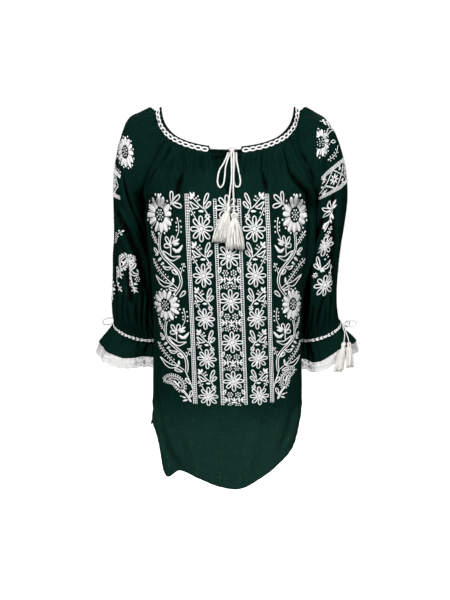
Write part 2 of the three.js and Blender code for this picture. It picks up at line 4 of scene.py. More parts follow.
import bpy
import numpy as np
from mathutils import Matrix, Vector


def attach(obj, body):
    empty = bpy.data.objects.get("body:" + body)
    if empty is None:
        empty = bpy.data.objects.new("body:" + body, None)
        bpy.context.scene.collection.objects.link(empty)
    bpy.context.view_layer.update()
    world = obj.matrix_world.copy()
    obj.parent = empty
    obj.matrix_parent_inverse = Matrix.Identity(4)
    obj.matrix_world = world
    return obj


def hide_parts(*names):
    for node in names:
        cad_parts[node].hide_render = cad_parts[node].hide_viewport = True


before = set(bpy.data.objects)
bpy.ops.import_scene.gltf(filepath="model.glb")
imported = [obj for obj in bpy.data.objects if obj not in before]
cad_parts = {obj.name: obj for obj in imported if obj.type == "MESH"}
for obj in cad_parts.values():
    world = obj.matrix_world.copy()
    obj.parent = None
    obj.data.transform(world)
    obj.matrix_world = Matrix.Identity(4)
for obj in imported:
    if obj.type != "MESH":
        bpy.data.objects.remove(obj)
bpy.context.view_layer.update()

mm = 0.001    # every table below is in millimetres, and every mesh in metres


def clearSelection():
    bpy.ops.object.select_all(action="DESELECT")


def choose(piece):
    clearSelection()
    piece.select_set(True)
    bpy.context.view_layer.objects.active = piece


def addMesh(name, points, faces, smooth=True):
    mesh = bpy.data.meshes.new(name)
    mesh.from_pydata([tuple(p) for p in points], [], faces)
    piece = bpy.data.objects.new(name, mesh)
    bpy.context.collection.objects.link(piece)
    choose(piece)
    if smooth:
        bpy.ops.object.shade_smooth()
    return piece


def applyModifier(piece, kind, **settings):
    choose(piece)
    modifier = piece.modifiers.new(kind.title(), kind)
    for name, value in settings.items():
        setattr(modifier, name, value)
    bpy.ops.object.modifier_apply(modifier=modifier.name)


def finishPiece(piece, material, slot, *nodes):
    piece.data.materials.clear()
    piece.data.materials.append(material)
    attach(piece, "root")
    if nodes:
        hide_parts(*nodes)


# The camera looks a little down on the front.
cameraSettings = {"elevation": 9, "distance": 1.9, "aim": (-0.005, 0, -0.355), "lens": 58.46}


def makeCamera():
    aim = Vector(cameraSettings["aim"])
    tilt = math.radians(cameraSettings["elevation"])
    place = aim + cameraSettings["distance"] * Vector((0, -math.cos(tilt), math.sin(tilt)))
    bpy.ops.object.camera_add(location=place, rotation=(math.pi / 2 - tilt, 0, 0))
    camera = bpy.context.object
    camera.data.lens = cameraSettings["lens"]
    camera.data.sensor_width = 36
    bpy.context.scene.camera = camera


makeCamera()
print("camera set")


# Materials. A colour is given as sRGB hex and goes to the nodes as linear.
def linear(hexColour, alpha=1):
    values = [int(hexColour[i:i + 2], 16) / 255 for i in (0, 2, 4)]
    return tuple(v / 12.92 if v <= 0.04045 else ((v + 0.055) / 1.055) ** 2.4 for v in values) + (alpha,)


def addNode(tree, kind, inputs, **settings):
    node = tree.nodes.new(kind)
    for name, value in settings.items():
        setattr(node, name, value)
    for name, value in inputs.items():
        if isinstance(value, bpy.types.NodeSocket):
            tree.links.new(value, node.inputs[name])
        else:
            node.inputs[name].default_value = value
    return node


def newMaterial(name):
    material = bpy.data.materials.new(name)
    material.use_nodes = True
    material.node_tree.nodes.clear()
    return material, material.node_tree


def endMaterial(tree, **shader):
    surface = addNode(tree, "ShaderNodeBsdfPrincipled", {k.replace("_", " "): v for k, v in shader.items()})
    addNode(tree, "ShaderNodeOutputMaterial", {"Surface": surface.outputs["BSDF"]})


def blend(tree, share, first, second):
    mixed = addNode(tree, "ShaderNodeMix", {"Factor": share}, data_type="RGBA")
    for socket, value in ((6, first), (7, second)):
        if isinstance(value, bpy.types.NodeSocket):
            tree.links.new(value, mixed.inputs[socket])
        else:
            mixed.inputs[socket].default_value = value
    return mixed.outputs[2]


# Crinkled cotton and viscose, plain-woven and piece-dyed bottle green: matt with a faint soft sheen, slubs in
# both directions and fine crinkles along the warp. The weave is drawn three times as coarse as it is.
crinkledCotton = {
    # the darkest colour here is painted shade, laid into deep folds and gathers
    # the two hem colours are painted paler, as painted light on the cloth below the embroidery
    "deep": "031a15", "fresh": "06231c", "slub": "2c5644", "foldShaded": "010504", "litHemDeep": "0f2a23",
    "litHemFresh": "14322a",
    "roughness": 0.85, "sheen": 0.015, "threadSpacing": 1.5, "crinkleWidth": 5.0, "slubLength": 26.0,
}


def makeCotton(name, look, crinkle):
    material, tree = newMaterial(name)
    flat = addNode(tree, "ShaderNodeUVMap", {}, uv_map="cloth").outputs["UV"]

    def stretchedNoise(acrossScale, alongScale, detail, roughness=0.5):
        placed = addNode(tree, "ShaderNodeMapping", {"Vector": flat, "Scale": (acrossScale, alongScale, 1)})
        made = addNode(tree, "ShaderNodeTexNoise",
                       {"Vector": placed.outputs["Vector"], "Scale": 1.0, "Detail": detail,
                        "Roughness": roughness})
        return made.outputs["Fac"]

    def ramp(value, low, high):
        return addNode(tree, "ShaderNodeMapRange",
                       {"Value": value, "From Min": low, "From Max": high}).outputs["Result"]

    def threads(direction):
        wave = addNode(tree, "ShaderNodeTexWave",
                       {"Vector": flat, "Scale": 1 / (look["threadSpacing"] * mm) / 20 * math.pi,
                        "Distortion": 1.2, "Detail": 2.0, "Detail Scale": 1.0},
                       wave_type="BANDS", bands_direction=direction)
        return wave.outputs["Fac"]

    def sum2(a, b, weight):
        return addNode(tree, "ShaderNodeMath", {0: b, 1: weight, 2: a}, operation="MULTIPLY_ADD").outputs[0]

    slubWidth = 1 / (1.6 * mm)
    slubLength = 1 / (look["slubLength"] * mm)
    warpSlubs = ramp(stretchedNoise(slubWidth, slubLength, 2), 0.6, 0.78)
    weftSlubs = ramp(stretchedNoise(slubLength, slubWidth, 2), 0.62, 0.8)
    mottle = ramp(stretchedNoise(9, 7, 3), 0.3, 0.7)
    body = blend(tree, mottle, linear(look["deep"]), linear(look["fresh"]))
    # below the embroidery the single layer is looser, with more slubs, and its colour is painted paler:
    # painted light on the lower cloth
    drop = addNode(tree, "ShaderNodeSeparateXYZ", {"Vector": flat})
    loose = ramp(drop.outputs["Y"], -0.45, -0.53)
    hem = blend(tree, mottle, linear(look["litHemDeep"]), linear(look["litHemFresh"]))
    body = blend(tree, loose, body, hem)
    # painted shade: the cloth is painted darker where a fold or gather is deep, in place of the shade that
    # falls there
    pressed = addNode(tree, "ShaderNodeAttribute", {}, attribute_name="foldShade")
    body = blend(tree, pressed.outputs["Fac"], body, linear(look["foldShaded"]))
    slubShare = addNode(tree, "ShaderNodeMath", {0: warpSlubs, 1: weftSlubs}, operation="ADD")
    amount = addNode(tree, "ShaderNodeMapRange", {"Value": loose, "To Min": 0.22, "To Max": 0.75})
    slubShare = addNode(tree, "ShaderNodeMath", {0: slubShare.outputs[0], 1: amount.outputs["Result"]},
                        operation="MULTIPLY")
    colour = blend(tree, slubShare.outputs[0], body, linear(look["slub"]))
    crinkles = stretchedNoise(1 / (look["crinkleWidth"] * mm), 1 / (9 * look["crinkleWidth"] * mm), 3, 0.6)
    relief = sum2(sum2(sum2(threads("X"), threads("Y"), 1.0), crinkles, crinkle), warpSlubs, 0.8)
    bump = addNode(tree, "ShaderNodeBump", {"Height": relief, "Strength": 0.5, "Distance": 0.35 * mm})
    endMaterial(tree, Base_Color=colour, Roughness=look["roughness"], Normal=bump.outputs["Normal"],
                Sheen_Weight=look["sheen"], Sheen_Roughness=0.5, Sheen_Tint=linear("7fae9c"),
                Specular_IOR_Level=0.03)
    return material


# Mercerised cotton thread, laid as satin stitch, twisted into cord or left loose: white with a soft gloss.
# ridges is the spacing of the threads that show.
def makeThread(name, light, shade, roughness, ridges, depth):
    material, tree = newMaterial(name)
    place = addNode(tree, "ShaderNodeTexCoord", {}).outputs["Object"]
    patches = addNode(tree, "ShaderNodeTexNoise", {"Vector": place, "Scale": 120.0, "Detail": 3.0})
    fine = addNode(tree, "ShaderNodeTexNoise", {"Vector": place, "Scale": 1 / (ridges * mm), "Detail": 2.0})
    colour = blend(tree, patches.outputs["Fac"], linear(shade), linear(light))
    bump = addNode(tree, "ShaderNodeBump",
                   {"Height": fine.outputs["Fac"], "Strength": 0.6, "Distance": depth * mm})
    endMaterial(tree, Base_Color=colour, Roughness=roughness, Normal=bump.outputs["Normal"],
                Sheen_Weight=0.15, Sheen_Roughness=0.4, Specular_IOR_Level=0.4)
    return material


clothMaterial = makeCotton("crinkledCotton", crinkledCotton, 2.2)
bandMaterial = makeCotton("foldedCottonBand", {**crinkledCotton, "deep": "03140f", "fresh": "061a15"}, 0.6)
stitchMaterial = makeThread("satinStitchThread", "fafafa", "e8e8ea", 0.5, 0.7, 0.12)
cordMaterial = makeThread("twistedCottonCord", "f3f2ee", "d9d8d4", 0.62, 0.6, 0.15)
tasselMaterial = makeThread("looseCottonThread", "f3f2ec", "d6d5cf", 0.6, 0.8, 0.15)
laceMaterial = makeThread("cottonLaceThread", "efeeec", "d4d3d1", 0.75, 0.5, 0.1)
print("materials made")


# A plain pale floor far below the blouse, a white surround, and soft lights.
studio = {
    "floorDrop": 1.3, "floorSize": 7, "surroundRadius": 9, "ambient": 0.06,
    "lights": (
        {"place": (-1.2, -2.6, 1.3), "size": 0.6, "power": 96},
        {"place": (1.7, -2.2, 0.5), "size": 0.7, "power": 46},
        {"place": (0.2, 2.4, 1.2), "size": 2.2, "power": 34},
    ),
}


def makeStudio():
    bpy.ops.mesh.primitive_plane_add(size=studio["floorSize"], location=(0, 0, -studio["floorDrop"]))
    floor = bpy.context.object
    floor.name = "studioFloor"
    material, tree = newMaterial("paleMattFloor")
    endMaterial(tree, Base_Color=linear("f4f4f4"), Roughness=0.9, Emission_Color=(1, 1, 1, 1),
                Emission_Strength=1.0)
    floor.data.materials.append(material)
    bpy.ops.mesh.primitive_uv_sphere_add(segments=48, ring_count=24, radius=studio["surroundRadius"])
    surround = bpy.context.object
    surround.name = "studioSurround"
    material, tree = newMaterial("whiteSurround")
    glow = addNode(tree, "ShaderNodeEmission", {"Color": (1, 1, 1, 1), "Strength": 1.05})
    addNode(tree, "ShaderNodeOutputMaterial", {"Surface": glow.outputs["Emission"]})
    surround.data.materials.append(material)
    for backdrop in (floor, surround):    # bright to look at, without lighting the blouse
        backdrop.visible_diffuse = False
        backdrop.visible_glossy = False
        backdrop.visible_shadow = False
    world = bpy.data.worlds.new("studioAir")
    world.use_nodes = True
    world.node_tree.nodes["Background"].inputs["Color"].default_value = (1, 1, 1, 1)
    world.node_tree.nodes["Background"].inputs["Strength"].default_value = studio["ambient"]
    bpy.context.scene.world = world
    for light in studio["lights"]:
        place = Vector(light["place"])
        towards = Vector((0, 0, -0.35)) - place
        bpy.ops.object.light_add(type="AREA", location=place,
                                 rotation=towards.to_track_quat("-Z", "Y").to_euler())
        lamp = bpy.context.object.data
        lamp.shape = "DISK"
        lamp.size = light["size"]
        lamp.energy = light["power"]
    bpy.context.scene.view_settings.view_transform = "Standard"


makeStudio()
print("studio made")


# Lines and curves, in millimetres
def lengthsAlong(line):
    # each point's distance along its line from the first
    return np.concatenate([[0], np.cumsum(np.linalg.norm(np.diff(line, axis=0), axis=1))])


def units(ways):
    return ways / np.linalg.norm(ways, axis=1)[:, None]


def routeCurve(points, closed, spacing):
    # a smooth curve through the points, cut into even steps
    given = np.array(points, float)
    if closed:
        given = np.vstack([given[-1], given, given[:2]])
    else:
        given = np.vstack([2 * given[0] - given[1], given, 2 * given[-1] - given[-2]])
    fine = []
    for k in range(len(given) - 3):
        corners = given[k:k + 4]
        knots = np.concatenate([[0], np.cumsum(np.linalg.norm(np.diff(corners, axis=0), axis=1) ** 0.5)])
        for t in np.linspace(knots[1], knots[2], 24, endpoint=False):
            level = corners
            for order in (1, 2, 3):
                level = [((knots[i + order] - t) * level[i] + (t - knots[i]) * level[i + 1])
                         / (knots[i + order] - knots[i]) if order < 3 else
                         ((knots[2] - t) * level[i] + (t - knots[1]) * level[i + 1]) / (knots[2] - knots[1])
                         for i in range(len(level) - 1)]
            fine.append(level[0])
    fine.append(given[-2])
    fine = np.array(fine)
    lengths = lengthsAlong(fine)
    steps = max(int(round(lengths[-1] / spacing)), 4)
    places = np.linspace(0, lengths[-1], steps + 1)
    return np.stack([np.interp(places, lengths, fine[:, i]) for i in range(3)], 1), lengths[-1]


def flatRoute(points, closed, spacing):
    # the same curve through points that lie flat
    return routeCurve([(x, y, 0) for x, y in points], closed, spacing)[0]


def alongFrames(path, closed=False):
    # at each point of a path, two directions square to it that don't turn about it
    ahead = np.gradient(path, axis=0)
    if closed:
        ahead[0] = ahead[-1] = path[1] - path[-2]
    ahead /= np.linalg.norm(ahead, axis=1)[:, None]
    start = np.array((0, 0, 1.0)) if abs(ahead[0][2]) < 0.8 else np.array((1.0, 0, 0))
    sides = []
    side = start
    for direction in ahead:
        side = side - direction * side.dot(direction)
        side /= np.linalg.norm(side)
        sides.append(side)
    sides = np.array(sides)
    return ahead, sides, np.cross(ahead, sides)


def tubeFaces(rings, sides, closed=False, base=0):
    # the faces of a tube from its rings of points, with a cap at each end if it is open
    faces = []
    for k in range(rings if closed else rings - 1):
        here, after = base + k * sides, base + (k + 1) % rings * sides
        for i in range(sides):
            j = (i + 1) % sides
            faces.append((here + i, here + j, after + j, after + i))
    if not closed:
        faces.append(tuple(base + i for i in reversed(range(sides))))
        faces.append(tuple(base + (rings - 1) * sides + i for i in range(sides)))
    return faces


# Ties. Each cord follows its route, twisted from three strands.
cordLook = {"strands": 3, "grooves": 0.2, "pitch": 2.6, "sides": 12, "spacing": 0.9}


def twistedCord(name, points, diameter, closed=False):
    path, length = routeCurve(points, closed, cordLook["spacing"] * diameter / 3.2)
    if closed:
        path = path[:-1]
    _, side, other = alongFrames(np.vstack([path, path[:1]]) if closed else path, closed)
    sides = cordLook["sides"]
    angles = np.arange(sides) * 2 * math.pi / sides
    lobes = diameter / 2 * (1 - cordLook["grooves"] * (1 - np.abs(np.cos(cordLook["strands"] * angles / 2))))
    turnsWhole = max(round(length / (cordLook["pitch"] * diameter)), 1)
    points = []
    for k in range(len(path)):
        twist = 2 * math.pi * turnsWhole * k / len(path)
        turned = angles + twist
        points.append(path[k] + lobes[:, None] * (np.cos(turned)[:, None] * side[k]
                                                  + np.sin(turned)[:, None] * other[k]))
    faces = tubeFaces(len(path), sides, closed)
    cord = addMesh(name, np.vstack(points) * mm, faces)
    return cord, path * mm, length * mm


# A tassel is so wide and so deep at these shares of its length, as shares of its half width and half depth.
tasselLook = {
    "threads": 128, "threadRadius": 0.62, "steps": 9, "sides": 5, "wander": 0.9,
    "shares": (0.15, 0.22, 0.34, 0.5, 0.66, 0.82, 1.0),
    "spread": (0.2, 0.34, 0.56, 0.76, 0.89, 0.97, 1.0),
    "depths": (0.5, 0.66, 0.84, 0.94, 1.0, 0.98, 0.94),
    "headThreads": 26, "headThreadRadius": 0.9, "bindings": (0.145, 0.163, 0.181), "bindingRadius": 0.75,
    "headProfile": ((0.0, 0.1), (0.03, 0.26), (0.07, 0.31), (0.11, 0.29), (0.15, 0.2), (0.18, 0.2)),
}


def threadTubes(name, lines, radii, sides):
    # a thin tube round each line of points
    points = []
    faces = []
    for line, radius in zip(lines, radii):
        _, side, other = alongFrames(line)
        base = len(points)
        for k, centre in enumerate(line):
            size = radius[k] if hasattr(radius, "__len__") else radius
            for i in range(sides):
                angle = 2 * math.pi * i / sides
                points.append(centre + size * (math.cos(angle) * side[k] + math.sin(angle) * other[k]))
        faces += tubeFaces(len(line), sides, base=base)
    return addMesh(name, np.array(points) * mm, faces)


def makeTassel(name, top, bottom, halfWidth, halfDepth, turn, seed):
    chance = random.Random(seed)
    top, bottom = np.array(top, float), np.array(bottom, float)
    wide = np.array((math.cos(math.radians(turn)), math.sin(math.radians(turn)), 0))
    deep = np.array((-math.sin(math.radians(turn)), math.cos(math.radians(turn)), 0))
    shares = tasselLook["shares"]
    steps = np.linspace(shares[0], 1, tasselLook["steps"])
    lines = []
    radii = []

    def spot(share, aside, ahead):
        return top + (bottom - top) * share + wide * aside + deep * ahead

    for _ in range(tasselLook["threads"]):
        angle = chance.uniform(0, 2 * math.pi)
        out = math.sqrt(chance.uniform(0.05, 1)) * 0.93
        reach = chance.uniform(0.87, 1.02)
        sway = chance.uniform(-1, 1)
        phase = chance.uniform(0, 6.28)
        line = []
        for share in steps:
            at = shares[0] + (share - shares[0]) * reach
            loose = (share - shares[0]) / (1 - shares[0])
            a = angle + 0.35 * sway * loose
            x = out * np.interp(share, shares, tasselLook["spread"]) * halfWidth * math.cos(a)
            y = out * np.interp(share, shares, tasselLook["depths"]) * halfDepth * math.sin(a)
            x += tasselLook["wander"] * loose * (1 - 0.6 * loose) * math.sin(7 * share + phase)
            line.append(spot(at, x, y))
        lines.append(np.array(line))
        radii.append(tasselLook["threadRadius"] * chance.uniform(0.85, 1.15))
    # the head: threads over a core, and the binding round its neck
    core = []
    for _ in range(tasselLook["headThreads"]):
        angle = chance.uniform(0, 2 * math.pi)
        line = []
        for share, size in tasselLook["headProfile"]:
            x, y = size * halfWidth * math.cos(angle), size * 2.1 * halfDepth * math.sin(angle)
            line.append(spot(share, x, y))
        core.append(np.array(line))
    lines += core
    radii += [tasselLook["headThreadRadius"]] * len(core)
    for share in tasselLook["bindings"]:
        ring = []
        for k in range(19):
            angle = 2 * math.pi * k / 18
            x, y = 0.245 * halfWidth * math.cos(angle), 0.52 * halfDepth * math.sin(angle)
            ring.append(spot(share + 0.0008 * k, x, y))
        lines.append(np.array(ring))
        radii.append(tasselLook["bindingRadius"])
    return threadTubes(name, lines, radii, tasselLook["sides"])


# The routes are the ones that the cords' solids follow. A tail runs on into its knot and its tassel's head.
neckCordDiameter = 3.2
wristCordDiameter = 2.2
neckCrossing = ((-31.6, -93.6, -62.6), (-14, -95, -63.4), (8, -95.8, -63.6), (23.4, -94.8, -63.2))
ties = (
    {
        "name": "neck", "diameter": neckCordDiameter, "knot": (8, -102.4, -64.4), "knotSize": (7.4, 4.6, 4.6),
        "loops": {
            "right": (
                (0.8, -102, -70.2), (-4, -108.4, -82), (-9, -112.6, -91.5), (-14.4, -116.4, -100),
                (-17.8, -121.4, -113.5), (-17.7, -125.4, -125.5), (-13.6, -127, -131.4),
                (-8.4, -125.6, -126.5), (-5.4, -121.4, -112.5), (-4.2, -116.8, -98), (-0.4, -110.8, -83),
                (4.6, -102.6, -70.2),
            ),
            "left": (
                (15.4, -102, -70.2), (16.3, -110.4, -85), (18.1, -115.4, -95.5), (20.8, -120.2, -109),
                (22.6, -124.4, -122), (19.8, -126.8, -129.6), (15, -126.8, -130), (11.6, -125.2, -124),
                (10.6, -121.6, -113), (11.2, -117, -100), (12.2, -111.6, -88), (11.6, -102.6, -70.2),
            ),
        },
        "tails": {
            "right": (
                (6.4, -106, -70.2), (6.6, -114.5, -85), (6.9, -122, -105), (6.2, -127.8, -120),
                (4.4, -131.4, -134), (2.6, -134.6, -150), (0.6, -136.6, -163.4),
            ),
            "left": (
                (10.2, -106.2, -70.2), (10.2, -115.4, -85), (10.4, -122.8, -103), (10.2, -128.4, -118),
                (9.8, -132, -132), (10.2, -135, -150), (11.2, -137.2, -168), (11.6, -138, -175.4),
            ),
        },
        "tassels": {
            "right": ((0.4, -136.9, -164.1), (-13.5, -140.4, -228), 16.5, 6, 0),
            "left": ((11.7, -138.2, -176), (14.5, -141.4, -241), 19, 6, 0),
        },
    },
    {
        "name": "wrist_left", "diameter": wristCordDiameter, "knot": (231.5, 34, -410.5),
        "knotSize": (4.2, 4.2, 4.2),
        "loops": {
            "front": (
                (235.8, 35.4, -408.6), (242, 40, -404), (252, 44, -403.6), (259, 46, -409), (255, 46, -415.5),
                (247, 43, -415.8), (236.2, 37, -411.8),
            ),
            "back": (
                (232.4, 38.7, -409.4), (238, 46, -405.6), (244, 56, -406.6), (247, 63, -412.6),
                (243.6, 61, -419), (238.6, 51, -416.4), (233.6, 38.4, -413),
            ),
        },
        "tails": {
            "front": ((229.8, 30.8, -414.6), (232.6, 24.4, -424), (231.6, 18, -434), (230.4, 14.4, -440.4)),
            "back": ((233.6, 32.4, -414.8), (235.8, 28.6, -424), (238.8, 21.4, -434), (240.2, 16, -441.2)),
        },
        "tassels": {
            "front": ((230.3, 13.8, -441.5), (217, -11, -495.5), 12.5, 5.5, 32),
            "back": ((240.4, 15.4, -442.3), (241.5, 1, -490), 12, 5.5, 45),
        },
    },
    {
        "name": "wrist_right", "diameter": wristCordDiameter, "knot": (-219.5, 91.5, -410.5),
        "knotSize": (4.2, 4.2, 4.2),
        "loops": {
            "front": (
                (-224, 90.4, -409), (-234, 84, -405.6), (-246, 76, -404.8), (-253, 71.6, -410),
                (-251, 71.6, -416), (-243, 76, -417.6), (-233, 84, -415.6), (-223.8, 90.2, -412.2),
            ),
            "back": (
                (-218.6, 96.2, -409), (-221, 104, -405.6), (-217, 113, -406.6), (-211, 117, -412),
                (-211, 113.6, -418), (-214, 106, -416.6), (-217, 96, -412.2),
            ),
        },
        "tails": {
            "front": ((-221.6, 93.8, -414.8), (-230, 101.5, -426), (-237, 110, -436),
                      (-240.2, 115.4, -443.4)),
            "back": ((-217.4, 95.2, -414.8), (-221, 105.5, -426), (-224.2, 115.6, -436),
                     (-226, 121.8, -443.4)),
        },
        "tassels": {
            "front": ((-240.6, 116, -444.5), (-256, 135.5, -494), 10.5, 5, -142),
            "back": ((-226.2, 122.4, -444.5), (-235.5, 145, -493), 10.5, 5, -154),
        },
    },
)


def makeKnot(tie):
    # two turns of the cord side by side round the bundle, and a strand that crosses them
    centre, size, d = np.array(tie["knot"]), np.array(tie["knotSize"]), tie["diameter"]
    wraps = []
    for k, shift in enumerate((-0.46, 0.04, 0.5)):
        ring = []
        for step in range(10):
            angle = 2 * math.pi * step / 10
            ring.append(centre + ((size[0] - d / 2) * shift + 0.12 * size[0] * math.sin(angle),
                                  (size[1] - d / 2) * math.cos(angle), (size[2] - d / 2) * math.sin(angle)))
        wraps.append(twistedCord(f"{tie['name']}_knot_turn_{k}", ring, d, closed=True)[0])
    across = [centre + np.array((size[0] - d / 2, 0.2 * size[1], 0.1 * size[2])) * (x, 1, 1)
              for x in (-1, 0, 1)]
    across[1] = across[1] + np.array((0, -0.3 * size[1], 0))
    wraps.append(twistedCord(f"{tie['name']}_knot_core", across, d)[0])
    clearSelection()
    for piece in wraps:
        piece.select_set(True)
    bpy.context.view_layer.objects.active = wraps[0]
    bpy.ops.object.join()
    wraps[0].name = tie["name"] + "Knot"
    return wraps[0]


def makeTies():
    crossing, path, length = twistedCord("neckCordCrossing", neckCrossing, neckCordDiameter)
    finishPiece(crossing, cordMaterial, "thread", "neck_cord_crossing")
    for number, tie in enumerate(ties):
        name = tie["name"]
        knot = makeKnot(tie)
        finishPiece(knot, cordMaterial, "thread", name + "_knot")
        centre = np.array(tie["knot"])
        for end, route in tie["loops"].items():
            loop, path, length = twistedCord(f"{name}Loop_{end}", route, tie["diameter"])
            finishPiece(loop, cordMaterial, "thread", f"{name}_loop_{end}")
        for k, (end, route) in enumerate(tie["tails"].items()):
            top, bottom, halfWidth, halfDepth, turn = tie["tassels"][end]
            seed = 10 * number + k
            tassel = makeTassel(f"{name}Tassel_{end}", top, bottom, halfWidth, halfDepth, turn, seed)
            finishPiece(tassel, tasselMaterial, "thread", f"{name}_tassel_{end}")
            into = np.array(top) + 0.14 * (np.array(bottom) - np.array(top))
            start = np.array(route[0]) + 0.5 * (centre - np.array(route[0]))
            whole = [tuple(start), *route, tuple(into)]
            tail, path, length = twistedCord(f"{name}Tail_{end}", whole, tie["diameter"])
            finishPiece(tail, cordMaterial, "thread", f"{name}_tail_{end}")


makeTies()
print("ties made")


# The form of the worn blouse. Its tables are the ones that its solids are made from: a row u runs from the
# neck band, 0, to the hem, and a place across runs from -1 to 1.
bodyRows = {
    "z": (-70, -88, -108, -129, -150, -172, -222, -300, -400, -545, -690),
    "frontY": (-101, -109, -116, -122, -127, -130, -132, -128, -120, -113, -110),
    "frontSweep": (57, 62, 68, 77, 88, 99, 105, 108, 109, 107, 106),
    "backY": (101, 101, 100, 99, 98, 97, 95, 90, 95, 103, 104),
    "backSweep": (57, 60, 62, 64, 65, 66, 66, 66, 66, 68, 70),
    "sideX": (112, 125, 138, 149, 155, 154.2, 148, 139, 135, 139, 140),
    "sideY": (0, 2, 5, 9, 15, 22, 22, 19, 15, 10, 8),
}
sleeveRows = {
    "outerRight": (137, 163, 187, 203, 215, 220, 221, 225, 230, 226, 225, 228, 244, 257, 265),
    "outerLeft": (137, 163, 188, 209, 224, 231, 227, 219, 217, 222, 224, 228, 244, 258, 263),
    "outerZ": (5, 2, -8, -45, -94, -150, -214, -290, -365, -403, -410, -417, -435, -452, -474),
    "innerX": (112, 125, 138, 149, 157, 157, 158, 150, 145, 139, 138, 138, 136, 134, 132),
    "innerZ": (-43, -65, -89, -113, -140, -172, -226, -302, -386, -429, -436, -443, -459, -473, -494),
    "y": (0, 2, 5, 9, 15, 22, 30, 40, 47, 53, 54, 55, 60, 65, 67),
    "depth": (68, 75, 78, 79, 75, 69, 65, 60, 56, 45, 44, 45, 54, 62, 66),
    "sweep": (57, 66, 78, 94, 118, 180, 180, 180, 180, 180, 180, 180, 180, 180, 180),
    "drop": (0, 0, 0, 0, 0, 0, 0, 2, 5, 8, 9, 9, 9, 9, 9),
}
frontHem = {
    "across": (-1, -0.85, -0.7, -0.6, -0.49, -0.37, -0.2, -0.05, 0.09, 0.25, 0.38, 0.55, 0.7, 0.85, 1),
    "z": (-572, -584, -606, -648, -686, -671, -682, -696, -700, -681, -661, -632, -588, -574, -568),
}
backHem = {"across": (-1, -0.85, -0.5, 0, 0.5, 0.85, 1), "z": (-608, -614, -660, -682, -660, -612, -600)}
form = {
    "neckHalfWidth": 125, "neckHalfDepth": 95, "neckPeakZ": 20, "neckDip": 80, "neckBackDip": 4,
    "neckLeanFront": 25, "neckLeanSide": 53, "neckBandHeight": 13, "neckSeamGap": -2.5, "hiddenTop": 3.9,
    "raglanTurn": 57,
    "armpitRow": 5, "armpitGap": 2.8, "ventRow": 9, "hemRow": 10, "slitEndRow": 4, "slitEnd": 0.035,
    "slitRight": -0.27, "slitLeft": 0.2, "flareRight": 13, "flareLeft": 3,
    "wristRow": 10, "flounceHemRow": 13, "laceHemRow": 14, "flounceWaves": 7, "flounceWaveDepth": 3.6,
}
# how far each flounce's hem hangs off the even line, at places round from the outer line, front below 0
hemHang = {
    -1: ((-1, 0), (-0.9, 1), (-0.77, 2.5), (-0.645, 6), (-0.55, 2), (-0.43, -3), (-0.3, -1), (-0.2, 0),
         (1, 0)),
    1: ((-1, 0), (-0.85, -1), (-0.75, -1), (-0.65, -7), (-0.56, -4.5), (-0.47, 3), (-0.38, 10), (-0.3, 12),
        (-0.2, 10), (-0.1, 5), (0, 2), (0.15, 0), (1, 0)),
}


sideNames = {-1: "right", 1: "left"}    # the wearer's
clothThickness = 0.9
seamDepth = 1.2
foldShadeStart = 0.5    # how deep a fold is before painted shade darkens its cloth
foldShadeDepth = 3.4    # and how much deeper until that painted shade is darkest


def smooth(t):
    t = np.clip(t, 0, 1)
    return t * t * (3 - 2 * t)


def between(a, b, c, d, t):
    # a smooth curve from b to c, t of the way along, with a before them and d after
    return 0.5 * (2 * b + (c - a) * t + (2 * a - 5 * b + 4 * c - d) * t * t
                  + (3 * b - a - 3 * c + d) * t ** 3)


def readRow(table, u):
    row = {}
    for name, values in table.items():
        last = len(values) - 1
        i = min(max(int(math.floor(u)), 0), last - 1)
        a, b, c, d = (values[min(max(k, 0), last)] for k in (i - 1, i, i + 1, i + 2))
        row[name] = between(a, b, c, d, u - i)
    return row


def hemZ(hem, across):
    across = np.clip(across, -1, 1)
    xs, zs = np.array(hem["across"], float), np.array(hem["z"], float)
    i = np.clip(np.searchsorted(xs, across, side="left") - 1, 0, len(xs) - 2)
    a, b, c, d = (zs[np.clip(k, 0, len(zs) - 1)] for k in (i - 1, i, i + 1, i + 2))
    return between(a, b, c, d, (across - xs[i]) / (xs[i + 1] - xs[i]))


def neckPoint(turn, down):
    ahead, aside = np.cos(np.radians(turn)), np.sin(np.radians(turn))
    lean = np.radians(form["neckLeanFront"] + (form["neckLeanSide"] - form["neckLeanFront"]) * aside ** 2)
    saddle = (ahead ** 2 + 0.0004) ** 0.34
    outwards = down * np.sin(lean)
    topZ = form["neckPeakZ"] - form["neckDip"] * saddle + form["neckBackDip"] * np.minimum(ahead, 0)
    return np.stack([
        (form["neckHalfWidth"] + outwards) * aside,
        -(form["neckHalfDepth"] + outwards) * ahead,
        topZ - down * np.cos(lean),
    ], -1)


def sleevePoint(side, u, around):
    r = readRow(sleeveRows, u)
    around = np.asarray(around, float)
    sweep = math.radians(r["sweep"] if u < form["armpitRow"] else 180)
    angle = around * sweep
    outwards = (np.cos(angle) - math.cos(sweep)) / (1 - math.cos(sweep))
    outerX = r["outerRight"] if side < 0 else r["outerLeft"]
    p = np.stack([
        side * (r["innerX"] + (outerX - r["innerX"]) * outwards),
        r["y"] + r["depth"] * np.sin(angle),
        r["innerZ"] + (r["outerZ"] - r["innerZ"]) * outwards + r["drop"] * np.sin(angle),
    ], -1)
    turn = side * (90 + (90 - form["raglanTurn"]) * around)
    top = neckPoint(turn, form["neckBandHeight"] + form["neckSeamGap"])
    return p + (top - p) * (1 - smooth(u))


def bodyEdge(face, side, u):
    if u > form["armpitRow"]:
        r = readRow(bodyRows, u)
        return np.array([side * r["sideX"], r["sideY"], r["z"]])
    edge = sleevePoint(side, u, face)
    edge[0] -= side * form["armpitGap"] * smooth(u - form["slitEndRow"])
    return edge


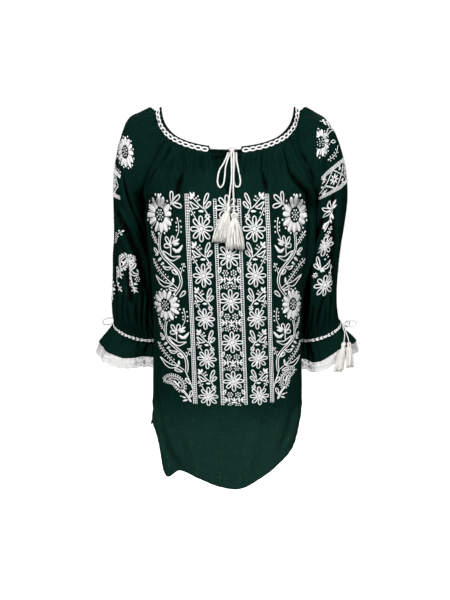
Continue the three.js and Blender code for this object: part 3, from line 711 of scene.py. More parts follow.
def bodyPoint(face, u, across):
    r = readRow(bodyRows, u)
    across = np.asarray(across, float)
    sweep = math.radians(r["frontSweep"] if face < 0 else r["backSweep"])
    angle = across * sweep
    middle = (np.cos(angle) - math.cos(sweep)) / (1 - math.cos(sweep))
    middleY = r["frontY"] if face < 0 else r["backY"]
    right, left = bodyEdge(face, -1, u), bodyEdge(face, 1, u)
    edge = np.where((across < 0)[..., None], right, left)
    side = np.where(across < 0, -1, 1)
    p = np.stack([
        np.abs(edge[..., 0]) * np.sin(angle) / math.sin(sweep),
        edge[..., 1] + (middleY - edge[..., 1]) * middle,
        r["z"] + (edge[..., 2] - r["z"]) * np.maximum(1 - middle, 0) ** 1.45,
    ], -1)
    if u > form["ventRow"]:
        below = u - form["ventRow"]
        ventZ = bodyRows["z"][form["ventRow"]]
        flare = np.where(side < 0, form["flareRight"], form["flareLeft"])
        p[..., 2] = ventZ + (hemZ(frontHem if face < 0 else backHem, across) - ventZ) * below
        if face > 0:
            p[..., 0] += side * flare * smooth((np.abs(across) - 0.6) / 0.4) * below
        p[..., 1] += face * 2 * np.abs(across) ** 6 * below
    turn = form["raglanTurn"] * across if face < 0 else 180 - form["raglanTurn"] * across
    top = neckPoint(turn, form["neckBandHeight"] + form["neckSeamGap"])
    return p + (top - p) * (1 - smooth(u))


# A piece of cloth is a grid of points. Seen from outside, place runs from -1 at its left to 1 at its right.
# across and down are a point's distances in the flat cloth from its middle line and from its top edge.
def pieceSurface(piece):
    kind, side = piece
    if kind == "body":
        return lambda u, place: bodyPoint(side, u, -side * place)
    return lambda u, place: sleevePoint(side, u, side * place)


def rowsByLength(surface, first, last, spacing, ease=0):
    # rows from first to last that lie evenly down the middle line, closer together near the last one
    us = np.linspace(first, last, 600)
    line = np.array([surface(u, np.array([0.0]))[0] for u in us])
    lengths = lengthsAlong(line)
    count = int(round(lengths[-1] / spacing))
    share = np.linspace(0, 1, count + 1)
    if ease:
        share = share + ease * share * share * (1 - share)
    # the edge that is sewn inside the neck band isn't counted
    hidden = form["hiddenTop"] if first == 0 else 0
    return np.interp(share * lengths[-1], lengths, us), share * lengths[-1] - hidden


def surfaceNormals(points, closedRows=None):
    down = np.gradient(points, axis=0)
    right = np.gradient(points, axis=1)
    if closedRows is not None:
        wrapped = (points[:, 1] - points[:, -2]) / 2
        right[closedRows, 0] = wrapped[closedRows]
        right[closedRows, -1] = wrapped[closedRows]
    out = np.cross(down, right)
    return out / np.maximum(np.linalg.norm(out, axis=2), 1e-9)[..., None]


def layOutCloth(surface, us, downs, placesOf):
    dense = np.linspace(-1, 1, 161)
    points, across, places = [], [], []
    for u in us:
        row = placesOf(u)
        line = surface(u, dense)
        lengths = lengthsAlong(line)
        lengths -= np.interp(0, dense, lengths)
        points.append(surface(u, row))
        across.append(np.interp(row, dense, lengths))
        places.append(row)
    down = np.repeat(np.array(downs)[:, None], len(places[0]), 1)
    rows = np.repeat(np.array(us)[:, None], len(places[0]), 1)
    return {"points": np.array(points), "across": np.array(across), "place": np.array(places),
            "down": down, "row": rows}


def foldHeights(folds, across, down):
    # a fold is (route, width, depth, skew): a ridge where depth is above 0, else a trough with low banks.
    # skew moves its steep side towards the right, or below 0 towards the left.
    height = np.zeros(across.shape)
    for route, width, depth, skew in folds:
        path, length = routeCurve([(x, y, 0) for x, y in route], False, max(width * 0.7, 4))
        path = path[:, :2]
        ahead = units(np.gradient(path, axis=0))
        near = (np.abs(across - path[:, 0].mean()) < np.ptp(path[:, 0]) / 2 + 5 * width) & (
            np.abs(down - path[:, 1].mean()) < np.ptp(path[:, 1]) / 2 + 3 * width)
        if not near.any():
            continue
        spots = np.stack([across[near], down[near]], 1)
        gaps = spots[:, None, :] - path[None]
        k = np.argmin((gaps ** 2).sum(2), 1)
        gap = gaps[np.arange(len(k)), k]
        off = (gap[:, 0] * ahead[k, 1] - gap[:, 1] * ahead[k, 0]) / width
        along = (gap * ahead[k]).sum(1) + k * length / (len(path) - 1)
        left = length * 1.06 - along
        if route[0][1] < 14:    # a fold that starts at its band only dies away at its end
            fade = smooth(left / (0.6 * length))
        else:
            fade = smooth(left / (0.45 * length)) * smooth((along + 0.12 * length) / (0.3 * length))
        stretch = np.where(off * skew > 0, 1 - 0.6 * abs(skew), 1 + 0.8 * abs(skew))
        x = off / stretch
        if depth > 0:
            shape = np.exp(-x ** 2)
        else:
            shape = np.exp(-x ** 2) - 0.4 * (np.exp(-(x - 1.9) ** 2) + np.exp(-(x + 1.9) ** 2))
        height[near] += depth * shape * fade
    return height * smooth((down + 2) / 9)    # nothing where the cloth goes into its band


def gatherHeights(gathers, place, row):
    # the main gathers below a band, pressed in
    edge = np.maximum(1 - np.abs(place) ** 12, 0)
    band = smooth((row + 0.15) / 0.6)
    depths = sum(depth * np.exp(-((place - at) / width) ** 2) * (1 - smooth(row / reach))
                 for at, width, depth, reach in gathers)
    return -edge * band * depths


def fineGathers(seed, count, place, down, depth, reach, widths, lean=0.0):
    # many small uneven pleats that start at a band
    chance = random.Random(seed)
    height = np.zeros(place.shape)
    for k in range(count):
        at = -1 + 2 * (k + 0.5 + chance.uniform(-0.38, 0.38)) / count
        deep = chance.uniform(*depth)
        far = chance.uniform(*reach)
        wide = chance.uniform(*widths) * 2 / count
        drift = chance.uniform(-0.5, 0.5) * 2 / count + lean * at
        x = (place - at - drift * down / far) / (wide * (1 + 0.9 * np.clip(down / far, 0, 2)))
        way = -1 if chance.random() < 0.65 else 0.6
        height += way * deep * (np.exp(-x ** 2) - 0.2) * (1 - smooth(down / far)) * smooth((down + 1.5) / 10)
    return height


def softWaves(seed, waves, across, down, depth, width, reach):
    # wide low waves in the hanging cloth
    chance = random.Random(seed)
    height = np.zeros(across.shape)
    for _ in range(waves):
        phase, tilt = chance.uniform(0, 6.28), chance.uniform(-0.25, 0.25)
        size = chance.uniform(*width)
        height += chance.uniform(*depth) * np.sin(2 * math.pi * (across + tilt * down) / size + phase) * (
            0.6 + 0.4 * np.sin(2 * math.pi * down / chance.uniform(*reach) + phase * 3))
    return height


def layFlat(piece, flat):
    # the flat cloth's own distances, as the piece's UV map
    mesh = piece.data
    layer = mesh.uv_layers.new(name="cloth")
    corners = np.zeros(len(mesh.loops), int)
    mesh.loops.foreach_get("vertex_index", corners)
    layer.data.foreach_set("uv", (flat.reshape(-1, 2) * mm)[corners].ravel())


def clothMesh(name, cloth, skippedColumn=None):
    rows, columns = cloth["across"].shape
    ids = np.arange(rows * columns).reshape(rows, columns)
    faces = []
    for i in range(rows - 1):
        for j in range(columns - 1):
            if j != skippedColumn:
                faces.append((ids[i, j], ids[i + 1, j], ids[i + 1, j + 1], ids[i, j + 1]))
    piece = addMesh(name, cloth["points"].reshape(-1, 3) * mm, [tuple(int(k) for k in f) for f in faces])
    layFlat(piece, np.stack([cloth["across"], -cloth["down"]], -1))
    # the painted shade of the folds, which the cloth's material reads
    if "foldShade" in cloth:
        piece.data.attributes.new("foldShade", "FLOAT", "POINT").data.foreach_set("value",
                                                                               cloth["foldShade"].ravel())
    bpy.ops.object.mode_set(mode="EDIT")
    bpy.ops.mesh.select_all(action="SELECT")
    bpy.ops.mesh.remove_doubles(threshold=0.00002)
    bpy.ops.mesh.select_all(action="DESELECT")
    bpy.ops.object.mode_set(mode="OBJECT")
    applyModifier(piece, "SOLIDIFY", thickness=clothThickness * mm, offset=0, use_even_offset=False)
    return piece


def raiseCloth(cloth, height, pressed=None, closed=None):
    # lifts the cloth off its form, and from the depths of its folds stores their painted shade; closed says
    # which rows join up into a ring
    cloth["form"] = cloth["points"]
    cloth["points"] = cloth["points"] + surfaceNormals(cloth["points"], closed) * height[..., None]
    if closed is not None:
        cloth["points"][closed, -1] = cloth["points"][closed, 0]
    if pressed is not None:
        cloth["foldShade"] = smooth((-pressed - foldShadeStart) / foldShadeDepth)


def turnedHem(cloth, width, depth):
    # a narrow hem, turned twice: one step of cloth thicker, above it the dent of its stitching
    points = cloth["points"]
    steps = np.linalg.norm(np.diff(points, axis=0), axis=2)
    left = np.concatenate([np.cumsum(steps[::-1], 0)[::-1], np.zeros((1, points.shape[1]))])
    return depth * (1 - smooth((left - width) / 2.5)) - 0.5 * depth * np.exp(-((left - width - 3) / 2) ** 2)


# Front and back. fine is the small gathers' seed, count, depth, reach and widths; the next setting is how
# strongly they and the folds are painted with shade, and how far down that painted shade fades.
frontSettings = {
    "name": "frontPanel", "node": "front", "seamWidth": 0.02,
    "fine": (3, 36, (2.4, 5.2), (24, 84), (0.36, 0.48)), "pressed": (1.9, 1.2, 380),
    "waves": (5, 4, (0.4, 1.1), (70, 150), (260, 500)),
    "crinkles": (8, 5, (0.05, 0.175), (12, 30), (60, 120)),
    "columns": 200, "rowSpacing": 3.3,
    "gathers": (
        (-0.86, 0.036, 2.8, 4.2), (-0.71, 0.030, 1.8, 2.4), (-0.5, 0.042, 2.6, 3.8), (-0.29, 0.030, 1.9, 2.6),
        (0.21, 0.030, 1.8, 2.8), (0.43, 0.042, 2.8, 4.4), (0.64, 0.030, 1.9, 2.6), (0.86, 0.036, 2.8, 3.6),
    ),
    "folds": (
        (((-107, 3), (-116, 18), (-133, 36), (-150, 57), (-159, 68), (-168, 84)), 3.6, -5.5, 0.2),
        (((-98, 4), (-113, 21), (-124, 34), (-132, 52)), 4.2, -5.0, 0.2),
        (((-90, 2), (-106, 30), (-118, 46), (-125, 62)), 4.4, -5.5, -0.2),
        (((-82, 3), (-84, 35), (-89, 57), (-93, 78), (-95, 96)), 5.6, -7.5, 0.2),
        (((-77, 4), (-76, 30), (-75, 50)), 3.2, -3.8, 0),
        (((-62, 5), (-64, 38), (-68, 60)), 4.0, -3.6, 0.2),
        (((-50, 3), (-47, 26), (-46, 46)), 3.8, -3.8, 0),
        (((-33, 2), (-28, 30), (-20, 62)), 4.6, -5.0, -0.2),
        (((40, 3), (34, 36), (32, 60)), 4.6, -5.0, 0.2),
        (((53, 3), (51, 32)), 3.4, -3.2, 0),
        (((70, 2), (64, 14), (65, 30), (69, 58), (73, 82)), 5.4, -7.0, 0),
        (((77, 3), (80, 30), (84, 54)), 3.0, -3.4, 0),
        (((84, 2), (86, 27), (89, 42), (93, 64)), 3.2, -4.0, 0),
        (((91, 2), (94, 13), (101, 30), (107, 50)), 3.2, -4.0, 0),
        (((99, 2), (104, 16), (109, 32)), 3.0, -3.0, 0),
        (((106, 2), (107, 8), (111, 21), (117, 38), (128, 55), (141, 67), (156, 78), (171, 88), (180, 102),
          (183, 129), (183, 165), (182, 225), (181, 290)), 4.8, -9.0, 0.4),
        (((176, 70), (188, 84), (197, 106), (201, 140), (201, 190), (199, 260)), 10.0, 14.0, 0),
        (((122, 10), (136, 38), (150, 52), (161, 66), (172, 84)), 9.0, 3.5, 0.3),
        (((-178, 85), (-196, 130), (-206, 200), (-210, 300)), 6.0, -5.0, 0.2),
        (((-35, 4), (-14, 42), (2, 84)), 4.0, 1.5, 0.3),
        (((28, 4), (18, 42), (8, 84)), 4.0, 1.5, -0.3),
        (((-104, 626), (-122, 588), (-150, 520), (-164, 450)), 12.0, -5.0, -0.3),
        (((-62, 632), (-70, 590), (-76, 530)), 14.0, 2.2, 0),
        (((58, 628), (66, 570), (70, 500)), 16.0, -2.6, 0.2),
        (((118, 600), (132, 540), (144, 470)), 14.0, -3.4, 0.2),
        (((10, 100), (12, 180), (16, 300)), 26.0, 1.4, 0),
    ),
}


def frontPlaces(u):
    parted = max(1 - u / form["slitEndRow"], 0)
    right = form["slitEnd"] + (form["slitRight"] - form["slitEnd"]) * parted
    left = form["slitEnd"] + (form["slitLeft"] - form["slitEnd"]) * parted
    half = frontSettings["columns"] // 2
    return np.concatenate([np.linspace(-1, right, half + 1), np.linspace(left, 1, half + 1)])


backSettings = {
    "name": "backPanel", "node": "back", "seamWidth": 0.025,
    "fine": (13, 36, (2.0, 4.6), (26, 100), (0.4, 0.55)), "pressed": (1.6, 1.0, 300),
    "waves": (15, 4, (0.6, 1.3), (70, 150), (260, 500)), "crinkles": None,
    "columns": 110, "rowSpacing": 3.6,
    "gathers": (
        (-0.8, 0.08, 4.2, 3.4), (-0.5, 0.07, 3.4, 2.6), (-0.2, 0.08, 4.4, 3.8), (0.2, 0.07, 3.4, 2.8),
        (0.5, 0.08, 4.2, 3.6), (0.8, 0.07, 3.8, 3),
    ),
    "folds": (
        (((-88, 8), (-104, 120), (-120, 260)), 8.0, -4.0, -0.2),
        (((-40, 8), (-46, 110), (-58, 230)), 7.0, -3.2, 0.2),
        (((22, 8), (26, 140), (30, 300)), 8.0, -3.4, 0),
        (((70, 8), (86, 120), (104, 240)), 7.0, -3.6, 0.2),
        (((118, 60), (132, 180), (142, 320)), 9.0, -4.0, -0.3),
        (((-118, 520), (-98, 580), (-92, 640)), 14.0, -3.4, 0),
        (((36, 470), (40, 560), (46, 640)), 16.0, -3.4, 0.2),
        (((-20, 380), (-26, 500), (-30, 630)), 18.0, 2.4, 0),
        (((112, 560), (102, 600), (98, 640)), 13.0, -2.8, 0),
    ),
}


def makePanel(face, settings, placesOf, skippedColumn=None):
    surface = pieceSurface(("body", face))
    us, downs = rowsByLength(surface, 0, form["hemRow"], settings["rowSpacing"])
    cloth = layOutCloth(surface, us, downs, placesOf)
    across, down, place, row = (cloth[k] for k in ("across", "down", "place", "row"))
    edge = np.maximum(1 - np.abs(place) ** 16, 0)
    seam = -seamDepth * np.exp(-((np.abs(place) - 1) / settings["seamWidth"]) ** 2) * (row < form["ventRow"])
    seed, count, depth, reach, widths = settings["fine"]
    fine = edge * fineGathers(seed, count, place, down, depth, reach, widths)
    folded = edge * foldHeights(settings["folds"], across, down)
    height = gatherHeights(settings["gathers"], place, row) + (fine + folded)
    # painted shade in the gathers and folds, faded out on the single layer that hangs below
    fineShadeWeight, foldShadeWeight, pressedDown = settings["pressed"]
    pressed = (fineShadeWeight * fine + foldShadeWeight * folded) * (1 - smooth((down - pressedDown) / 90))
    seed, count, depth, width, reach = settings["waves"]
    height += edge * smooth((down - 60) / 120) * softWaves(seed, count, across, down, depth, width, reach)
    if settings["crinkles"]:
        seed, count, depth, width, reach = settings["crinkles"]
        height += edge * softWaves(seed, count, across, down, depth, width, reach)
    height += seam + turnedHem(cloth, 8, 0.5) * (row > form["ventRow"])
    raiseCloth(cloth, height, pressed)
    piece = clothMesh(settings["name"], cloth, skippedColumn)
    finishPiece(piece, clothMaterial, "cloth", settings["node"])
    return cloth


frontCloth = makePanel(-1, frontSettings, frontPlaces, frontSettings["columns"] // 2)
makePanel(1, backSettings, lambda u: np.linspace(-1, 1, backSettings["columns"] + 1))
print("front and back made")


# Sleeves. Distances across are measured from the outer line, and below 0 they are on the front.
sleeveSettings = {
    "columns": 156, "rowSpacing": 3.2, "wristPleats": 30,
    "gathers": ((-0.6, 0.11, 4, 2.6), (-0.2, 0.1, 3.4, 2), (0.2, 0.1, 3.6, 2.2), (0.6, 0.11, 4, 2.8)),
    "folds": {
        -1: (
            (((-96, 12), (-114, 30), (-125, 47), (-131, 66)), 8.0, -5.0, 0.2),
            (((-76, 150), (-82, 170), (-88, 196), (-94, 214), (-108, 242), (-118, 262), (-119, 283),
              (-116, 312)),
             4.2, -6.5, -0.4),
            (((-58, 232), (-66, 242), (-72, 251), (-80, 265), (-90, 286), (-100, 304), (-108, 328),
              (-115, 355), (-121, 378)), 8.0, -12.0, -0.6),
            (((-62, 292), (-68, 307), (-71, 329), (-74, 342), (-76, 369), (-81, 390), (-86, 422)), 5.6,
             -7.5, 0.2),
            (((-77, 384), (-72, 410), (-69, 448)), 3.4, -3.6, 0),
            (((-94, 380), (-91, 410), (-87, 448)), 3.6, -4.0, 0),
            (((-106, 376), (-103, 410), (-98, 448)), 3.4, -3.6, 0),
            (((-121, 380), (-117, 410), (-109, 448)), 4.2, -4.6, 0),
            (((-64, 386), (-60, 420), (-56, 452)), 3.2, -3.2, 0),
            (((-44, 380), (-42, 420), (-40, 454)), 3.4, -3.2, 0),
            (((-150, 240), (-160, 320), (-158, 400)), 9.0, -6.0, 0.3),
            (((-20, 300), (-34, 360), (-42, 430)), 7.0, -4.0, 0.2),
            (((60, 230), (72, 300), (66, 400)), 8.0, -6.0, 0.2),
            (((100, 200), (112, 300), (104, 420)), 9.0, -6.5, -0.2),
            (((20, 340), (26, 400), (24, 450)), 5.0, -4.0, 0),
            (((130, 250), (126, 340), (130, 440)), 7.0, -5.0, 0),
        ),
        1: (
            (((-57, 40), (-90, 76), (-107, 102), (-114, 160), (-116, 216)), 8.0, 7.0, -0.7),
            (((-63, 8), (-97, 23), (-116, 38), (-129, 66), (-127, 102), (-126, 126), (-134, 156),
              (-146, 190)),
             4.0, -7.0, 0.2),
            (((-112, 60), (-141, 84), (-141, 120), (-150, 160), (-160, 196)), 7.0, 6.0, 0),
            (((-98, 236), (-101, 255), (-106, 273), (-112, 296), (-114, 316), (-110, 345), (-106, 378),
              (-107, 400), (-110, 423), (-109, 452)), 7.0, -11.0, 0.5),
            (((-84, 190), (-82, 224), (-80, 255), (-69, 287), (-65, 316), (-53, 348), (-44, 378), (-36, 400)),
             9.0, -5.0, 0),
            (((-70, 386), (-74, 409), (-79, 422), (-80, 436), (-80, 458)), 4.0, -5.0, 0),
            (((-53, 384), (-52, 404), (-53, 430), (-50, 458)), 3.8, -5.0, 0),
            (((-93, 400), (-92, 432), (-90, 460)), 3.6, -3.6, 0),
            (((-66, 400), (-63, 430), (-61, 460)), 3.2, -3.2, 0),
            (((-30, 390), (-28, 430), (-26, 460)), 3.6, -3.8, 0),
            (((30, 330), (34, 400), (30, 458)), 5.0, -4.4, 0),
            (((64, 220), (74, 300), (66, 410)), 8.0, -6.0, 0.2),
            (((104, 190), (114, 300), (106, 430)), 9.0, -6.5, -0.2),
            (((132, 250), (128, 340), (132, 440)), 7.0, -5.0, 0),
        ),
    },
}


def makeSleeve(side):
    name = sideNames[side]
    surface = pieceSurface(("sleeve", side))
    last = form["wristRow"] - 0.02
    us, downs = rowsByLength(surface, 0, last, sleeveSettings["rowSpacing"])
    cloth = layOutCloth(surface, us, downs, lambda u: np.linspace(-1, 1, sleeveSettings["columns"] + 1))
    cloth["across"] = side * cloth["across"]
    across, down, place, row = (cloth[k] for k in ("across", "down", "place", "row"))
    closed = np.array(us) >= form["armpitRow"]
    edge = np.where(row < form["armpitRow"], np.maximum(1 - np.abs(place) ** 16, 0), 1)
    turn = math.pi * place
    toWrist = downs[-1] - down
    height = gatherHeights(sleeveSettings["gathers"], place, row)
    fine = edge * fineGathers(20 + side, 30, place, down, (1.8, 4.2), (20, 66), (0.36, 0.5))
    folded = edge * foldHeights(sleeveSettings["folds"][side], across, down)
    height += fine + folded
    # how strongly the gathers and folds are painted with shade
    pressed = 1.6 * fine + 1.2 * folded
    chance = random.Random(40 + side)
    for k in range(9):
        # small pleats that run up from the wrist band, of uneven length
        count = sleeveSettings["wristPleats"] + 3 * (k - 4)
        reach = chance.uniform(24, 120)
        depth = chance.uniform(0.7, 1.5) * (1.0 if reach < 80 else 0.5)
        bend = chance.uniform(0, 6.28)
        wave = np.cos(count * turn + bend + 0.7 * np.sin(2 * turn + bend))
        height += depth * wave * (1 - smooth(toWrist / reach)) * (1 - 0.6 * smooth((5 - toWrist) / 5))
    waves = softWaves(30 + side, 4, across, down, (0.4, 1.0), (60, 120), (160, 300))
    height += edge * waves * smooth(down / 60)
    height += -seamDepth * np.exp(-((np.abs(place) - 1) / 0.025) ** 2) * (row < form["armpitRow"])
    raiseCloth(cloth, height, pressed, closed)
    piece = clothMesh(f"{name}Sleeve", cloth)
    finishPiece(piece, clothMaterial, "cloth", f"sleeve_{name}")
    return cloth


sleeveCloths = {side: makeSleeve(side) for side in (-1, 1)}
print("sleeves made")


# Flounces
# A pleat is (place round from the outer line, width as a share of the half turn, depth), pressed in.
flounceSettings = {
    "columns": 196, "rowSpacing": 2.6,
    "pleats": {
        -1: ((-0.5, 0.022, 5.0), (-0.59, 0.018, 4.5), (-0.7, 0.022, 5.0), (-0.28, 0.02, 2.5),
             (-0.41, 0.016, 2.5), (-0.8, 0.02, 4.0), (0.2, 0.03, 4.0), (0.45, 0.025, 4.0), (0.7, 0.03, 4.0)),
        1: ((-0.65, 0.02, 5.0), (-0.72, 0.018, 4.5), (-0.48, 0.022, 4.0), (-0.57, 0.018, 4.0),
            (-0.36, 0.02, 3.0), (-0.85, 0.025, 4.0), (0.2, 0.03, 4.0), (0.45, 0.025, 4.0), (0.7, 0.03, 4.0)),
    },
}


def flounceHeight(side, place, row):
    # the waves and pleats that the lace shares
    turn = math.pi * place
    share = (row - form["wristRow"]) / (form["flounceHemRow"] - form["wristRow"])
    wave = np.cos(form["flounceWaves"] * turn + 0.7 * np.sin(turn))
    height = smooth(share) * form["flounceWaveDepth"] * wave
    for at, width, depth in flounceSettings["pleats"][side]:
        pleat = depth * np.exp(-((side * place - at) / width) ** 2)
        height -= pleat * smooth(share / 0.2) * (1 - 0.55 * smooth(share))
    return height


def hangHem(side, cloth):
    places, lifts = zip(*hemHang[side])
    share = smooth((cloth["row"] - form["wristRow"]) / (form["flounceHemRow"] - form["wristRow"]))
    cloth["points"][..., 2] += share * np.interp(side * cloth["place"], places, lifts)


def makeFlounce(side):
    name = sideNames[side]
    surface = pieceSurface(("sleeve", side))
    first, last = form["wristRow"] + 0.02, form["flounceHemRow"]
    us, downs = rowsByLength(surface, first, last, flounceSettings["rowSpacing"])
    cloth = layOutCloth(surface, us, downs, lambda u: np.linspace(-1, 1, flounceSettings["columns"] + 1))
    hangHem(side, cloth)
    place, row, down = cloth["place"], cloth["row"], cloth["down"]
    turn = math.pi * place
    height = flounceHeight(side, place, row)
    chance = random.Random(60 + side)
    for k in range(8):
        count = 18 + 5 * k
        bend = chance.uniform(0, 6.28)
        reach = chance.uniform(22, 60)
        height += chance.uniform(0.5, 1.1) * np.cos(count * turn + bend + 0.8 * np.sin(turn + bend)) * (
            1 - smooth(down / reach)) * smooth((down + 2) / 6)
    height += turnedHem(cloth, 4, 0.3)
    raiseCloth(cloth, height, closed=np.ones(len(us), bool))
    piece = clothMesh(f"{name}Flounce", cloth)
    finishPiece(piece, clothMaterial, "cloth", f"flounce_{name}")


for side in (-1, 1):
    makeFlounce(side)
print("flounces made")


# Bands: folded cloth with rolled edges, puckered by the cloth gathered into them
bandSettings = {
    "neckSteps": 420, "wristSteps": 150, "wristLift": 3.3,
    "neckSection": (
        (0.9, -1.0), (0.1, -0.6), (-0.1, 0.2), (0.5, 1.0), (1.7, 1.4), (3.2, 1.25), (4.4, 0.95), (6.5, 1.05),
        (9.0, 1.1), (11.2, 1.15), (12.6, 0.95), (13.2, 0.2), (13.0, -0.7), (12.0, -1.0), (9.0, -0.95),
        (5.0, -0.95),
    ),
    "wristSection": (
        (-4.2, -0.9), (-4.7, -0.2), (-4.4, 0.7), (-3.2, 1.2), (-1.6, 1.3), (0, 1.35), (1.6, 1.3), (3.2, 1.2),
        (4.4, 0.7), (4.7, -0.2), (4.2, -0.9), (1.4, -1.0), (-1.4, -1.0),
    ),
}


def bandMesh(name, places, outs, alongs, section, closed):
    # places(down) gives the line of the band at that distance down, and outs the way out along it
    rings = np.array([places(down) + outs * out[:, None] for down, out in section]).swapaxes(0, 1)
    columns, rows = rings.shape[:2]
    piece = addMesh(name, rings.reshape(-1, 3) * mm, tubeFaces(columns, rows, closed))
    flat = np.zeros((columns, rows, 2))
    flat[..., 0] = alongs[:, None]
    flat[..., 1] = [down for down, _ in section]
    layFlat(piece, flat)
    return piece


def puckers(seed, alongs, pitch, depth):
    chance = random.Random(seed)
    whole = np.ptp(alongs)
    height = np.zeros(alongs.shape)
    for _ in range(7):
        waves = round(whole / pitch * chance.uniform(0.7, 1.5))
        height += chance.uniform(0.3, 1) * np.cos(2 * math.pi * waves * (alongs - alongs[0]) / whole
                                                  + chance.uniform(0, 6.28))
    return depth * height / 2


def neckLine(turns, down):
    return neckPoint(turns, np.full(turns.shape, float(down)))


def makeNeckBand():
    turns = np.linspace(form["raglanTurn"] * form["slitLeft"], 360 + form["raglanTurn"] * form["slitRight"],
                        bandSettings["neckSteps"])
    line = neckLine(turns, 8)
    alongs = lengthsAlong(line)
    right = np.gradient(line, axis=0)
    down = neckLine(turns, 9) - neckLine(turns, 7)
    outs = units(np.cross(down, right))
    pucker = puckers(70, alongs, 7.0, 0.22)
    section = [(down, out + pucker * (0.4 + 0.6 * abs(down - 7) / 7))
               for down, out in bandSettings["neckSection"]]
    piece = bandMesh("neckBand", lambda down: neckLine(turns, down), outs, alongs, section, False)
    finishPiece(piece, bandMaterial, "band", "neck_band")
    return {"turns": turns, "alongs": alongs, "outs": outs}


def makeWristBand(side):
    name = sideNames[side]
    surface = pieceSurface(("sleeve", side))
    places = np.linspace(-1, 1, bandSettings["wristSteps"] + 1)[:-1]
    rowStep = 1 / 7.0    # rows to a millimetre near the wrist

    def lineAt(down):
        return surface(form["wristRow"] + down * rowStep, places)

    line = lineAt(0)
    around = np.vstack([line[-1:], line, line[:1]])
    right = (around[2:] - around[:-2]) / 2
    outs = units(np.cross(lineAt(1) - lineAt(-1), right))
    alongs = lengthsAlong(line)
    pucker = puckers(72 + side, alongs, 6.0, 0.3)
    section = [(down, out + bandSettings["wristLift"] + pucker) for down, out in bandSettings["wristSection"]]
    piece = bandMesh(f"{name}WristBand", lineAt, outs, alongs, section, True)
    finishPiece(piece, bandMaterial, "band", f"wrist_band_{name}")
    return {"places": places, "alongs": alongs, "outs": outs, "lineAt": lineAt}


neckBand = makeNeckBand()
wristBands = {side: makeWristBand(side) for side in (-1, 1)}
print("bands made")


# Embroidery. Its parts are drawn flat, x to the right and y down in millimetres, and then laid on the cloth.
# An entry is (kind, points, size): a leaf runs from its base to its tip, and its size is its width.
stitchSettings = {
    "outline": 2.4, "slender": 2.2, "oval": 3.8, "stem": 2.0, "fine": 1.6, "rail": 1.25,
    "relief": 0.8, "lift": 0.2, "step": 2.6,
}


def flatShape(columns, rows, wide, high):
    # a low dome in satin stitch from x 0 to 1; its rim sinks into the cloth, and its underside is closed
    clearSelection()
    bpy.ops.mesh.primitive_grid_add(x_subdivisions=columns, y_subdivisions=rows, size=1, location=(0.5, 0, 0))
    piece = bpy.context.object
    bpy.ops.object.transform_apply(location=True)
    for vertex in piece.data.vertices:
        x, y = vertex.co.x, 2 * abs(vertex.co.y)
        rim = y > 0.99 or x < 0.01 or x > 0.99
        vertex.co.y *= wide(x)
        vertex.co.z = -0.6 if rim else high(x, y)
    bpy.ops.object.mode_set(mode="EDIT")
    bpy.ops.mesh.select_all(action="SELECT")
    bpy.ops.mesh.remove_doubles(threshold=0.001)
    return takePart(piece)


def takePart(piece):
    # closes a flat part underneath, reads it and removes it
    bpy.ops.object.mode_set(mode="EDIT")
    bpy.ops.mesh.select_all(action="DESELECT")
    bpy.ops.mesh.select_mode(type="EDGE")
    bpy.ops.mesh.select_non_manifold()
    bpy.ops.mesh.edge_face_add()
    bpy.ops.mesh.select_all(action="SELECT")
    bpy.ops.mesh.normals_make_consistent(inside=False)
    bpy.ops.object.mode_set(mode="OBJECT")
    return readMesh(piece)


def readMesh(piece):
    mesh = piece.data
    points = np.array([v.co for v in mesh.vertices])
    faces = [tuple(f.vertices) for f in mesh.polygons]
    bpy.data.objects.remove(piece)
    bpy.data.meshes.remove(mesh)
    return points, faces


def leafWidth(x):
    return math.sin(math.pi * min(max(x, 0), 1) ** 0.85) ** 0.75


def petalWidth(x):
    return 0.66 + 0.34 * smooth(x / 0.55) if x < 0.62 else max(1 - ((x - 0.62) / 0.38) ** 2.2, 0) ** 0.6


def flatDot():
    clearSelection()
    bpy.ops.mesh.primitive_circle_add(vertices=8, radius=1, fill_type="TRIFAN")
    piece = bpy.context.object
    bpy.ops.object.mode_set(mode="EDIT")
    bpy.ops.mesh.select_all(action="SELECT")
    bpy.ops.mesh.subdivide(number_cuts=1)
    bpy.ops.object.mode_set(mode="OBJECT")
    for vertex in piece.data.vertices:
        away = math.hypot(vertex.co.x, vertex.co.y)
        if away > 0.9:
            vertex.co.x, vertex.co.y = vertex.co.x / away, vertex.co.y / away
        vertex.co.z = -0.6 if away > 0.9 else math.sqrt(1 - away ** 2)
    return takePart(piece)


def leafHeight(x, y):
    # a groove runs down the middle, as in satin stitch laid from both sides
    return (1 - y ** 2.4) * min(1, 0.3 + leafWidth(x)) * (0.7 if y < 0.01 else 1)


def petalHeight(x, y):
    return (1 - 0.5 * y ** 2) * min(1, 0.55 + x) * (0.62 if y < 0.01 else 1)


flatParts = {
    "leaf": flatShape(6, 4, leafWidth, leafHeight),
    "petal": flatShape(9, 6, petalWidth, petalHeight),
    "dot": flatDot(),
}


def placed(entries, x, y, side=1, stretch=(1, 1)):
    # a group of entries at a place; side -1 mirrors it
    return [(kind, [(x + side * stretch[0] * px, y + stretch[1] * py) for px, py in points], size)
            for kind, points, size in entries]


# outlines of a round petal and of a pointed leaf, as shares of their length and half width
outlines = {
    "outline": ((0, 0), (0.14, 0.42), (0.38, 0.8), (0.66, 1), (0.9, 0.72), (1, 0)),
    "slender": ((0, 0), (0.14, 0.52), (0.36, 0.98), (0.6, 0.9), (0.84, 0.4), (1, 0)),
}


